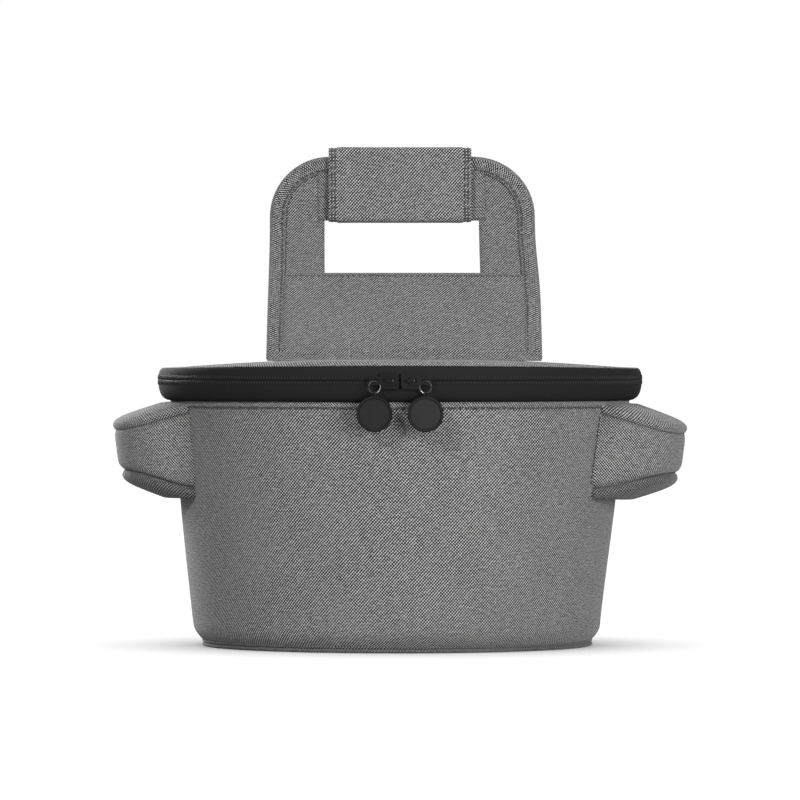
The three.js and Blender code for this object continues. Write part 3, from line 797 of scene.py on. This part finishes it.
def bend(start, corner, end, count):
    """A curve that leaves start toward corner and reaches end from it."""
    t = np.linspace(0, 1, count)[:, None]
    start, corner, end = (np.array(p, float) for p in (start, corner, end))
    return start * (1 - t) ** 2 + 2 * corner * t * (1 - t) + end * t ** 2


def lower_band(top):
    """The zip band in section from the rim up to a height."""
    start = RIM_HEIGHT + 0.3
    return bend((RIM_RADIUS + 0.4, start), (TAPE_OUTSIDE, start), (TAPE_OUTSIDE, top), 12)


def upper_band(bottom):
    """The zip band in section from a height up to the lid's edge."""
    top = LID_EDGE_HEIGHT + TAPE_TOP_RISE
    return bend((TAPE_OUTSIDE, bottom), (TAPE_OUTSIDE, top), (LID_EDGE_RADIUS - 0.4, top), 10)


def lid_lift(points):
    """The lid's edge stands a little higher at front and back than at the sides."""
    angle, radius = polar(points)
    share = smooth(SPLIT_HEIGHT + 1, LID_EDGE_HEIGHT - 1, points[..., 2])
    share = share * smooth(LID_FLAT_RADIUS - 40, LID_EDGE_RADIUS, radius)
    return places(0, 0, LID_LIFT * np.cos(2 * angle) * share)


def tooth_row(side):
    """One row of coil loops along the zip, below the split (side -1) or above it."""
    reach = math.radians(ZIP_REACH)
    count = int(2 * reach * ZIP_RADIUS / TOOTH_PITCH)
    angle = (np.arange(count) + 0.5) / count * 2 * reach - reach + side * TOOTH_PITCH / 4 / ZIP_RADIUS
    outs = outward(angle)
    middles = outs * ZIP_RADIUS + [0, 0, SPLIT_HEIGHT + side * TOOTH_MIDDLE]
    longs = np.tile([0.0, 0.0, 1.0], (count, 1))
    return studs(middles, longs, outs, (TOOTH_LENGTH, TOOTH_WIDTH, TOOTH_DEPTH))


def build_zip():
    """Both tapes, both rows of teeth and the plain cloth hinge at the back."""
    below = swept(lower_band(SPLIT_HEIGHT - TAPE_EDGE_GAP), TAPE, ZIP_ANGLES)
    add("tape_below", below, TAPE_CLOTH, "bag", ["zip_tape_lower"], "zip_tape")
    above = swept(upper_band(SPLIT_HEIGHT + TAPE_EDGE_GAP), TAPE, ZIP_ANGLES, lid_lift)
    add("tape_above", above, TAPE_CLOTH, "lid", ["zip_tape_upper"], "zip_tape")
    add("teeth_below", tooth_row(-1), COIL, "bag", ["zip_chain_lower"], "zip_chain")
    add("teeth_above", tooth_row(1), COIL, "lid", ["zip_chain_upper"], "zip_chain")

    whole = np.concatenate([lower_band(SPLIT_HEIGHT), upper_band(SPLIT_HEIGHT)[1:]])
    hinge = make("hinge_cloth", swept(whole, TAPE, HINGE_ANGLES, lid_lift), TWILL)
    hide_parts("hinge_leaf_lower", "hinge_leaf_upper")
    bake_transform(hinge)


# Lid

def past_flat(radius):
    """How far a radius is from the lid's flat middle toward its edge, from 0 to 1."""
    return np.clip((radius - LID_FLAT_RADIUS) / (LID_EDGE_RADIUS - LID_FLAT_RADIUS), 0, 1)


def lid_height(points):
    """The lid's cover: level along its middle, falling toward the sides, raised at front and back."""
    across = np.abs(points[..., 0])
    angle, radius = polar(points)
    side = np.clip((across - LID_LEVEL_HALF) / (LID_EDGE_RADIUS - LID_LEVEL_HALF), 0, 1)
    near_edge = smooth(LID_FLAT_RADIUS - 15, LID_EDGE_RADIUS - 12, radius)
    rise = LID_FRONT_RISE * smooth(85, 30, across) * near_edge
    top = LID_TOP - LID_SIDE_SAG * side ** 1.3 + rise
    edge = LID_EDGE_HEIGHT + TAPE_TOP_RISE + LID_LIFT * np.cos(2 * angle)
    return top - (top - edge) * past_flat(radius) ** LID_EDGE_POWER


def onto_lid(rise):
    """A shift that lays a flat grid on the lid's cover, or over it."""
    def shift(points):
        """The move of each point."""
        return places(0, 0, lid_height(points) + rise)
    return shift


def build_lid():
    """The padded cover, the strip round its edge and the lining under it."""
    r = spans([LID_EDGE_RADIUS, LID_FLAT_RADIUS, 0], [25, 7])
    cover = swept(places(r, 0), FABRIC, shift=onto_lid(0), flat=True)
    add("lid_cover", cover, TWILL, "lid", ["lid_top", "lid_foam"], fill=0.7)

    r = np.linspace(LID_EDGE_RADIUS + 0.3, LID_EDGE_RADIUS - LID_STRIP_WIDTH, 12)
    strip = swept(places(r, 0), LID_STRIP, shift=onto_lid(LID_STRIP_RISE))
    add("lid_edge_strip", strip, CROSS_TWILL, "lid")

    r = spans([LID_LINING_RADIUS, LID_FLAT_RADIUS, 0], [9, 7])
    z = LID_TOP - LID_LINING_DROP - (LID_TOP - LID_EDGE_HEIGHT) * past_flat(r) ** LID_LINING_POWER
    lining = swept(places(r, z), LINING, flat=True)
    cut = round_cut(LID_LINING_RADIUS, "stretched", "lid_cover")
    add("lid_inside", lining, LINING_CLOTH, "lid", ["lid_lining"], "lining", cut=cut)


# Ear pockets

def ear_half_height(out):
    """Half the band's height, which falls from the pocket's root to its end."""
    share = 0.5 + 0.5 * np.cos(np.pi * np.clip(out / EAR_REACH, 0, 1))
    return EAR_END_HALF + (EAR_ROOT_HALF - EAR_END_HALF) * share


def ear_place(out, along, height):
    """A place on the right-hand pocket: out from its root, along the wall and up from its middle."""
    lean = EAR_LEAN * np.clip(height / EAR_END_HALF, -1, 1) * out / EAR_REACH
    x, y, z = np.broadcast_arrays(EAR_ROOT + out + lean, along, EAR_MIDDLE + height)
    in_wall = np.sqrt(np.maximum((wall_radius(z) - EAR_ROOT_SINK) ** 2 - y ** 2, 0))
    return places(np.maximum(x, in_wall), y, z)


def ear_outline(inset, count=49):
    """The pocket's rounded plan as (out from its root, along the wall)."""
    angle = np.linspace(-np.pi / 2, np.pi / 2, count)
    power = 2 / EAR_SQUARENESS
    out = (EAR_REACH - inset) * np.maximum(np.cos(angle), 0) ** power
    along = (EAR_HALF_WIDTH - inset) * np.sign(angle) * np.abs(np.sin(angle)) ** power
    return out, along


def ear_panel_share(degrees, side):
    """How far from the pocket's root toward its outline a puffed panel is, by the turn round its edge."""
    reach = np.where(np.asarray(side) > 0, EAR_TOP_REACH, EAR_BOTTOM_REACH)
    return reach * np.maximum(np.cos(np.radians(degrees)), 0) ** EAR_PUFF_SQUARENESS


def ear_band(inset, rows=17):
    """The strip round the pocket as a grid, drawn in toward its two seams."""
    out, along = ear_outline(inset)
    level = np.linspace(-1, 1, rows)[:, None]
    drawn_in = 1 - (1 - ear_panel_share(-EAR_UNDERCUT, level)) * np.abs(level) ** EAR_SEAM_ROUNDING
    return ear_place(out * drawn_in, along * drawn_in, level * ear_half_height(out * drawn_in))


def ear_panel(side, rings=20):
    """The puffed panel that closes the pocket above (side 1) or below (side -1), seam first on top."""
    out, along = ear_outline(0)
    turn = np.linspace(-EAR_UNDERCUT, EAR_PUFF_END, rings)[::side, None]
    share = ear_panel_share(turn, side)
    low = math.sin(math.radians(EAR_UNDERCUT))
    puff = EAR_PUFF * (np.sin(np.radians(turn)) + low) / (1 + low)
    height = np.minimum(ear_half_height(np.minimum(share, 1) * out) + puff, EAR_TALLEST)
    return ear_place(share * out, share * along, side * height)


def draped_weave(points, rim):
    """Weave places for a grid: along its row at the rim and up its columns."""
    steps = np.linalg.norm(np.diff(points, axis=0), axis=-1)
    up = np.concatenate([np.zeros((1, points.shape[1])), np.cumsum(steps, axis=0)])
    return places(lengths(points[rim]), up)


def sagged(shape, sag):
    """A pocket's shape whose outer end hangs a little lower."""
    points, faces, weave = shape
    share = np.clip((np.abs(points[:, 0]) - EAR_ROOT) / EAR_REACH, 0, 1)
    return points - np.outer(sag * share, [0, 0, 1]), faces, weave


def build_ear(name, turn, sag):
    """One pocket: its band, its puffed panels above and below, and its lining."""
    def dress(kind, shape, material, node, *slot, **more):
        """One piece of the pocket in its place."""
        shape = sagged(turned(shape, turn), sag)
        add(f"{name}_pocket_{kind}", shape, material, "bag", [f"{name}_ear_{node}"], *slot, **more)

    band = ear_band(0)
    middle = len(band) // 2
    band = inflate(band, edge_mask(band, (0, -1), (0, 1, -2, -1)), pressure=1.5, limit=2.5)
    weave = places(lengths(band[middle]), band[..., 2])
    dress("band", backed(band, EAR_BAND, weave), CROSS_TWILL, "band", fill=0.6)

    # The bottom panels are in the darker twill: painted shade on the pockets' undersides.
    for side, word, cloth in ((1, "top", TWILL), (-1, "bottom", PAINTED_SHADE_TWILL)):
        panel = ear_panel(side)
        inside = polar(panel)[1] < wall_radius(panel[..., 2]) - 1
        rim = 0 if side > 0 else -1
        panel = inflate(panel, edge_mask(panel, (rim,)) | inside, pressure=1.0, limit=1.5)
        dress(word, backed(panel, EAR_PANEL, draped_weave(panel, rim)), cloth, word, fill=0.6)

    lining = ear_band(EAR_LINING_INSET)
    weave = places(lengths(lining[0]), lining[..., 2])
    length = lengths(lining[middle])[-1]
    cut = strip_cut(length, 2 * EAR_ROOT_HALF, f"{name}_pocket_band", EAR_LINING_SHARE)
    dress("lining", backed(lining, LINING, weave), LINING_CLOTH, "lining", "lining", cut=cut)


def window_binding():
    """The strip that wraps the window's edge from the lining to the wall's outside."""
    x, y, corner = WINDOW_HALF_WIDTH - WINDOW_CORNER, WINDOW_HALF_HEIGHT - WINDOW_CORNER, WINDOW_CORNER
    outline = rounded((x, y, corner, 0), (-x, y, corner, 90), (-x, -y, corner, 180), (x, -y, corner, 270))
    width, inside = WINDOW_BINDING_WIDTH, -LINING_INSET - LINING
    section = [(width, inside), (width - 0.4, inside - 0.6), (0.9, inside - 0.7), (-0.3, inside),
               (-0.5, inside / 2), (-0.3, 0), (0.9, 0.5), (width, 0.5)]
    rows, weave = [], []
    run = lengths(np.concatenate([outline, outline[:1]])[:, :2])
    for k, (away, depth) in enumerate(section):
        along, up = (outline[:, :2] + away * outline[:, 2:]).T
        z = EAR_MIDDLE + up
        angle = math.pi / 2 + along / wall_radius(EAR_MIDDLE)
        radius = wall_radius(z) + depth
        rows.append(places(radius * np.sin(angle), -radius * np.cos(angle), z))
        weave.append(places(run, 2 * k))
    return backed(np.array(rows), -WINDOW_BINDING, np.array(weave), wrap=True)


def ear_seam():
    """The thread down both creases where the pocket's band meets the wall."""
    z = EAR_MIDDLE + np.linspace(-1, 1, 12) * (EAR_ROOT_HALF - 2)
    seams = []
    for side in (-1, 1):
        y = side * (EAR_HALF_WIDTH + 0.5)
        path = places(np.sqrt((wall_radius(z) + 0.3) ** 2 - y ** 2), y, z)
        seams.append(stitch_row(path, unit(path * [1, 1, 0])))
    return join(*seams)


def build_ears():
    """Both pockets, each with its window's binding and the thread at its root."""
    sides = (("right", 0, RIGHT_EAR_TURN, EAR_SAG), ("left", 180, LEFT_EAR_TURN, 0))
    for name, half_turn, turn, sag in sides:
        build_ear(name, half_turn + turn, sag)
        add(f"{name}_window_binding", turned(window_binding(), half_turn), CROSS_TWILL, "bag")
        add(f"{name}_pocket_stitches", turned(ear_seam(), half_turn + turn), THREAD, "bag")


# Handles

def handle_bend():
    """Where the handle's sheet leaves its straight lean: (lean angle, straight length, bend length)."""
    across = SEAM_OFFSET - BAR_OFFSET - BEND_RADIUS
    up = BAR_BOTTOM - SEAM_HEIGHT
    distance = math.hypot(across, up)
    rise = math.atan2(up, across) - math.asin(BEND_RADIUS / distance)
    straight = math.sqrt(distance ** 2 - BEND_RADIUS ** 2)
    return rise, straight, BEND_RADIUS * (math.pi / 2 - rise)


HANDLE_RISE, STRAIGHT, HANDLE_BEND = handle_bend()
HANDLE_LENGTH = STRAIGHT + HANDLE_BEND + HANDLE_TOP - BAR_BOTTOM
HANDLE_START = -1.6
CUTOUT_START = (CUTOUT_BOTTOM - SEAM_HEIGHT) / math.sin(HANDLE_RISE)
CUTOUT_END = STRAIGHT + HANDLE_BEND
ARCH_START = HANDLE_LENGTH - ARCH_RADIUS
PATCH_END = (PATCH_TOP - SEAM_HEIGHT) / math.sin(HANDLE_RISE)
PATCH_SEAM = (PATCH_TOP - 1 - SEAM_HEIGHT) / math.sin(HANDLE_RISE)
PATCH_HALF = HANDLE_HALF - BINDING_WIDTH + 0.4


def on_handle(x, s, h):
    """The place at x across, s up the handle's sheet from its seam and h in front of its middle."""
    x, s, h = np.broadcast_arrays(np.asarray(x, float), np.asarray(s, float), np.asarray(h, float))
    h = h * (1 - 0.45 * smooth(SEAM_RADIUS, HANDLE_START, s))
    flare = HANDLE_FLARE + HANDLE_FOOT_FLARE * smooth(ARCH_START, STRAIGHT / 2, s)
    x = x * (1 + HANDLE_SPREAD * smooth(ARCH_START, 0, s))
    x = x + HANDLE_SWAY + flare * np.clip(x / HANDLE_HALF, 0, 1)
    turn = HANDLE_RISE + np.clip((s - STRAIGHT) / BEND_RADIUS, 0, math.pi / 2 - HANDLE_RISE)
    leaning = np.minimum(s, STRAIGHT)
    upright = np.maximum(s - STRAIGHT - HANDLE_BEND, 0)
    y = -SEAM_OFFSET + leaning * math.cos(HANDLE_RISE)
    z = SEAM_HEIGHT + leaning * math.sin(HANDLE_RISE) + upright
    y = y + BEND_RADIUS * (np.sin(turn) - math.sin(HANDLE_RISE))
    z = z - BEND_RADIUS * (np.cos(turn) - math.cos(HANDLE_RISE))
    return places(x, y - h * np.sin(turn), z + h * np.cos(turn))


def handle_width(s):
    """Half the handle's width at s up its sheet: straight, then round at the top."""
    above = np.clip(s - ARCH_START, 0, ARCH_RADIUS)
    return HANDLE_HALF - ARCH_RADIUS + np.sqrt(ARCH_RADIUS ** 2 - above ** 2)


def handle_sheet():
    """The padded sheet with its hand hole, trimmed to lie inside its binding."""
    straight = spans([HANDLE_START, CUTOUT_START, CUTOUT_END, ARCH_START], [13, 13, 2])[:-1]
    arch = (ARCH_RADIUS - EDGE_TRIM) * np.sin(np.linspace(0, math.pi / 2, 14))
    rows = np.concatenate([straight, ARCH_START + arch])
    hole = CUTOUT_HALF_WIDTH / HANDLE_HALF
    shares = spans([-1, -hole, hole, 1], [9, 29, 9])
    x = shares * (handle_width(rows) - EDGE_TRIM)[:, None]
    s = rows[:, None]
    middle_s = (rows[1:] + rows[:-1]) / 2
    middle_x = (shares[1:] + shares[:-1]) / 2
    open_rows = (middle_s > CUTOUT_START) & (middle_s < CUTOUT_END)
    keep = ~(open_rows[:, None] & (np.abs(middle_x) < hole)[None, :])
    front = on_handle(x, s, SHEET_HALF)
    back = on_handle(x, s, -SHEET_HALF)
    return slab(front, back, places(x, s), keep=keep)


def handle_edge(inset):
    """The handle's outer edge from foot to foot over the arch, set in, as (x, s, inward x, inward s)."""
    left = places(-HANDLE_HALF, np.linspace(HANDLE_START, ARCH_START, 24), 1, 0)[:-1]
    corner = HANDLE_HALF - ARCH_RADIUS
    turn = np.radians(np.linspace(180, 90, 16))
    c, s = np.cos(turn), np.sin(turn)
    arc = places(-corner + ARCH_RADIUS * c, ARCH_START + ARCH_RADIUS * s, -c, -s)
    top = places(np.linspace(-corner, corner, 14)[1:-1], HANDLE_LENGTH, 0, -1)
    mirror = np.array([-1, 1, -1, 1])
    whole = np.concatenate([left, arc, top, (arc * mirror)[::-1], (left * mirror)[::-1]])
    whole[:, :2] += inset * whole[:, 2:]
    return whole


def on_edge(inset, height):
    """Places along the handle's outer edge, set in from it and in front of its middle."""
    edge = handle_edge(inset)
    return on_handle(edge[:, 0], edge[:, 1], height)


def handle_binding():
    """The cloth strip folded over the handle's outer edge."""
    width, half = BINDING_WIDTH, BINDING_HALF
    fold = [(width, SHEET_HALF), (width - 0.1, half - 0.1), (BINDING_STITCH, half - 0.4),
            (width / 2, half + 0.1), (1.6, half), (0.5, half - 0.8), (0, half - 2.2)]
    section = fold + [(d, -h) for d, h in fold[::-1]]
    outer, inner, weave = [], [], []
    run = lengths(handle_edge(0)[:, :2])
    for k, (d, h) in enumerate(section):
        outer.append(on_edge(d, h))
        inner.append(on_edge(d + 0.6 * (d < width / 4), np.sign(h) * max(abs(h) - BINDING, 0.1)))
        weave.append(places(run, 2.0 * k))
    return slab(np.array(outer), np.array(inner), np.array(weave))


def bar_sleeve():
    """The cloth wrapped round the upper bar between the arms, under the grip."""
    x = np.linspace(-BAR_SLEEVE_HALF, BAR_SLEEVE_HALF, 40)
    s = np.linspace(CUTOUT_END - 0.4, HANDLE_LENGTH - BINDING_STITCH, 12)[:, None]
    sheets = []
    for side in (1, -1):
        outer = on_handle(x, s, side * (SHEET_HALF + BAR_SLEEVE))
        inner = on_handle(x, s, side * (SHEET_HALF - 0.3))
        sheets.append(slab(outer, inner, places(x, s)))
    return join(*sheets)


def handle_stitches():
    """Thread along the binding on both sides and along the patch's folded edge, and a thin dark row of
    thread by the binding's inner edge as a painted shadow line of its step.
    """
    stitches = BINDING_STITCH, 0.05, STITCH_LENGTH, STITCH_WIDTH
    # A thin dark row of thread: the painted shadow line along the binding's inner edge.
    shadow_line = BINDING_WIDTH + 0.25, -0.75, SHADOW_LINE_LENGTH, SHADOW_LINE_WIDTH
    seams = []
    for side in (1, -1):
        for inset, lift, length, width in (stitches, shadow_line):
            height = side * (BINDING_HALF + lift)
            path = on_edge(inset, height)
            seams.append(stitch_row(path, on_edge(inset, height + side) - path, length, width))
    x = np.linspace(-1, 1, 30) * (HANDLE_HALF - BINDING_WIDTH - 1)
    height = SHEET_HALF + PATCH_THICKNESS
    path = on_handle(x, PATCH_SEAM, height)
    seams.append(stitch_row(path, on_handle(x, PATCH_SEAM, height + 1) - path))
    return join(*seams)


def handle_patch():
    """The plain panel over the lower front of the handle, its top edge folded under."""
    end = PATCH_END
    fold = [end - 2, end - 1, end - 0.3, end]
    s = np.concatenate([np.linspace(HANDLE_START, end - 2.5, 16), fold])[:, None]
    x = np.linspace(-1, 1, 40) * PATCH_HALF
    crown = PATCH_CROWN * np.sin(np.pi * np.clip(s / end, 0, 1)) * np.cos(np.pi * x / 2 / HANDLE_HALF)
    rise = PATCH_EDGE + (PATCH_THICKNESS - PATCH_EDGE) * smooth(end, end - 1, s)
    front = on_handle(x, s, SHEET_HALF + rise + crown)
    return slab(front, on_handle(x, s, SHEET_HALF - 0.2), places(x, s))


def handle_roll():
    """The tucked seam under the handle's foot."""
    turn = np.linspace(0, 2 * math.pi, 17)
    x = np.linspace(-HANDLE_HALF + 1, HANDLE_HALF - 1, 60)[:, None]
    taper = 1 - 0.35 * smooth(HANDLE_HALF - 4, HANDLE_HALF - 1, np.abs(x))
    ring = taper[..., None] * places(0, np.cos(turn[:-1]), np.sin(turn[:-1]))
    middle = on_handle(x, 0, 0)
    outer = middle + (SEAM_RADIUS - 0.9) * ring
    return slab(outer, middle + 0.2 * ring, places(x, turn * SEAM_RADIUS), wrap=True)


def handle_flange():
    """The cloth that runs from the handle's foot down onto the lid."""
    x = np.linspace(-1, 1, 50) * (HANDLE_HALF - 0.6)
    foot_x = on_handle(x, 0, 0)[:, 0]
    rows = [places(foot_x, -SEAM_OFFSET - forward, LID_TOP + up) for forward, up in FLANGE_ON_LID]
    rows += [on_handle(x, s, BINDING_HALF + 0.3) for s in FLANGE_ON_HANDLE]
    outer = np.array(rows)
    return backed(outer, FLANGE, places(x, lengths(outer[:, len(x) // 2])[:, None]))


def build_flange(name, placed):
    """A handle's flange, which runs from the lid onto the handle."""
    # The flange is in the darker handle twill: painted shade.
    flange = make(f"{name}_handle_flange", placed(handle_flange()), PAINTED_SHADE_HANDLE_TWILL)
    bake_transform(flange)


# Grips

def grip_section():
    """The grip in section as (y, z), a flat back and a crowned front, and the distance round it."""
    small, large = GRIP_BACK_CORNER, GRIP_CORNER
    back, front = -GRIP_BACK - small, -GRIP_FRONT + large
    loop = rounded(
        (back, GRIP_BOTTOM + small, small, -90),
        (back, GRIP_TOP - small, small, 0),
        (front, GRIP_TOP - large, large, 90),
        (front, GRIP_BOTTOM + large, large, 180),
    )[:, :2]
    loop = np.concatenate([loop, loop[:1]])
    run = lengths(loop)
    even = np.linspace(0, run[-1], 65)[:-1]
    return picked(even, run, loop), even


def grip_cover(x, section):
    """The grip's outside as a grid of rows at x: pinched along its end seams and blown out between them."""
    near_end = GRIP_HALF - np.abs(x)
    pinch = 1 - 0.05 * np.exp(-(((near_end - 3) / 1.4) ** 2)) - 0.03 * smooth(1.5, 0, near_end)
    middle = section.mean(axis=0)
    loops = middle + (section - middle) * pinch[:, None, None]
    outer = places(x[:, None], loops[..., 0], loops[..., 1])
    flat_back = section[:, 0] > -GRIP_BACK - 0.5
    pinned = edge_mask(outer, (0, 1, 2, -3, -2, -1)) | flat_back
    return inflate(outer[:, ::-1], pinned[:, ::-1], pressure=1.2, limit=1.6, wrap=True)[:, ::-1]


def grip_sleeve(outer, x, run):
    """The padding between the grip's outside and the bar that it holds."""
    bar_middle = np.array([-BAR_OFFSET, (BAR_BOTTOM + HANDLE_TOP) / 2])
    bar_half = np.array([SHEET_HALF, (HANDLE_TOP - BAR_BOTTOM) / 2 - 1.5])
    spokes = outer[..., 1:] - bar_middle
    to_bar = (bar_half / np.maximum(np.abs(spokes), TINY)).min(axis=-1, keepdims=True)
    inner = np.concatenate([outer[..., :1], bar_middle + spokes * to_bar], axis=-1)
    return slab(outer, inner, places(x[:, None], -np.append(run, run[-1] + run[1])), wrap=True)


def grip_stitches(outer, x, section):
    """Two rows of thread over the front of the grip at each end."""
    normals = grid_normals(outer[:, ::-1], True)[:, ::-1]
    front = section[:, 0] < -GRIP_BACK - 2
    left = np.array(GRIP_SEAMS) - GRIP_HALF
    seams = []
    for seam_x in (*left, *-left[::-1]):
        row = int(np.argmin(np.abs(x - seam_x)))
        seams.append(stitch_row(outer[row][front], normals[row][front]))
    return join(*seams)


def press_strip():
    """The hook or loop strip on the grip's back, its ends rounded off."""
    x = np.linspace(-STRIP_HALF, STRIP_HALF, 24)
    z = np.linspace(STRIP_BOTTOM, STRIP_TOP, 12)[:, None]
    rounded = 0.5 * smooth(STRIP_HALF - 1.5, STRIP_HALF, np.abs(x))
    return slab(places(x, -STRIP_FAR, z), places(x, -STRIP_NEAR - rounded, z), places(x, z))


def build_handle(name, placed, strip_node, strip_material):
    """One handle with its grip; placed puts the front handle's shapes where this one is."""
    body = f"{name}_handle"

    def dress(kind, shape, material, *nodes, **more):
        """One piece of the handle in its place."""
        add(f"{name}_{kind}", placed(shape), material, body, [f"{name}_{node}" for node in nodes], **more)

    # The sheet, panel, binding, roll and bar are in the darker handle twills: painted shade.
    layers = "handle_face", "handle_core", "handle_back"
    dress("handle_sheet", handle_sheet(), PAINTED_SHADE_HANDLE_TWILL, *layers, fill=0.5)
    dress("handle_edge", handle_binding(), PAINTED_SHADE_EDGE_TWILL, "handle_binding")
    cut = strip_cut(2 * PATCH_HALF, PATCH_END - HANDLE_START, f"{name}_handle_sheet")
    dress("handle_panel", handle_patch(), PAINTED_SHADE_HANDLE_TWILL, "handle_patch", cut=cut)
    dress("handle_roll", handle_roll(), PAINTED_SHADE_EDGE_TWILL, "handle_seam")
    dress("handle_bar", bar_sleeve(), PAINTED_SHADE_EDGE_TWILL)
    dress("handle_stitches", handle_stitches(), THREAD)
    build_flange(name, placed)

    section, run = grip_section()
    x = np.linspace(-GRIP_HALF, GRIP_HALF, 45)
    outer = grip_cover(x, section)
    dress("grip_sleeve", grip_sleeve(outer, x, run), TWILL, "grip_cover", "grip_pad", fill=0.7)
    dress("grip_stitches", grip_stitches(outer, x, section), THREAD)
    add(f"{strip_node}_cloth", placed(press_strip()), strip_material, body, [strip_node], "hook_loop")


# Zip sliders

def build_sliders():
    """The sliders, tabs, rings and round pulls: CAD solids with soft edges and their own looks."""
    looks = {"slider": METAL, "pull_tab": METAL, "jump_ring": WIRE, "pull_disc": RUBBER}
    for side in ("left", "right"):
        for kind, material in looks.items():
            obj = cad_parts[f"{side}_{kind}"]
            obj.data.materials.clear()
            obj.data.materials.append(material)
            bevel = obj.modifiers.new("soft edges", "BEVEL")
            bevel.width = SLIDER_BEVEL * MM
            bevel.segments = 3
            bevel.limit_method = "ANGLE"
            obj.data.shade_smooth()


# Studio

def point(obj, place, direction):
    """Puts a camera or a light in its place, looking in a direction."""
    bpy.context.scene.collection.objects.link(obj)
    obj.location = place
    obj.rotation_euler = direction.to_track_quat("-Z", "Y").to_euler()


def build_camera():
    """The camera, where the photograph was taken from."""
    camera = bpy.data.objects.new("camera", bpy.data.cameras.new("camera"))
    place, aim = Vector(CAMERA_PLACE), Vector(CAMERA_AIM)
    point(camera, place * MM, (aim - place) * MM)
    camera.data.lens = CAMERA_LENS
    bpy.context.scene.camera = camera


def floor_paint():
    """Pale paint that glows away from the bag, so that only the ground near it shows a shadow."""
    material, tree, shader = new_material("floor", roughness=0.9, specular=0.1)
    place = object_place(tree)
    away = socket_of(tree, "ShaderNodeVectorMath", {0: place, 1: FLOOR_ROUND}, operation="MULTIPLY")
    away = socket_of(tree, "ShaderNodeVectorMath", {0: away}, out="Value", operation="LENGTH")
    share = blend_values(tree, [(noise(tree, place, 0.002), 0.02)], away)
    finish_material(tree, shader, ramp(tree, share, [(FLOOR_NEAR, 0.96), (1, 0.12)]), share, 0.01)
    glow = ramp(tree, share, [(FLOOR_NEAR, 0.06), (1, 0.92)])
    tree.links.new(glow, shader.inputs["Emission Color"])
    shader.inputs["Emission Strength"].default_value = 1.0
    return material


def build_floor():
    """The floor, and the collection that keeps the lamps' light off it."""
    corners = FLOOR_HALF_WIDTH * np.array([(-1, -1, 0), (1, -1, 0), (1, 1, 0), (-1, 1, 0)], float)
    floor = make("floor", (corners, [[0, 1, 2, 3]], corners[:, :2]), floor_paint())
    floor.location.z = -FLOOR_DROP * MM
    unlit = bpy.data.collections.new("lit by the sky alone")
    unlit.objects.link(floor)
    unlit.collection_objects[0].light_linking.link_state = "EXCLUDE"
    return unlit


def area_light(name, place, size, power, unlit):
    """A square light on the bag that leaves out what is unlit, its place and size in metres."""
    light = bpy.data.lights.new(name, "AREA")
    light.size = size
    light.energy = power
    obj = bpy.data.objects.new(name, light)
    obj.light_linking.receiver_collection = unlit
    point(obj, place, Vector((0, 0, CAMERA_AIM[2] * MM)) - Vector(place))


def build_stage():
    """Camera, floor, white sky and four soft lights."""
    build_camera()
    unlit = build_floor()
    scene = bpy.context.scene
    scene.world = bpy.data.worlds.new("studio")
    scene.world.use_nodes = True
    sky = scene.world.node_tree.nodes["Background"]
    sky.inputs["Color"].default_value = (1, 1, 1, 1)
    sky.inputs["Strength"].default_value = 1.0
    scene.view_settings.view_transform = "Standard"
    area_light("key", (0.8, -1.5, 0.35), 0.7, 66, unlit)
    area_light("spark", (-0.6, -1.2, 0.8), 0.2, 26, unlit)
    area_light("top", (0.1, 0.1, 1.6), 1.2, 9, unlit)
    area_light("back", (-0.9, 1.5, 0.7), 0.7, 60, unlit)


build_stage()
build_wall()
build_base()
build_hem()
build_zip()
build_lid()
build_ears()
build_handle("front", as_made, "grip_hook_strip", HOOKS)
build_handle("rear", reflected, "grip_loop_strip", LOOPS)
build_sliders()
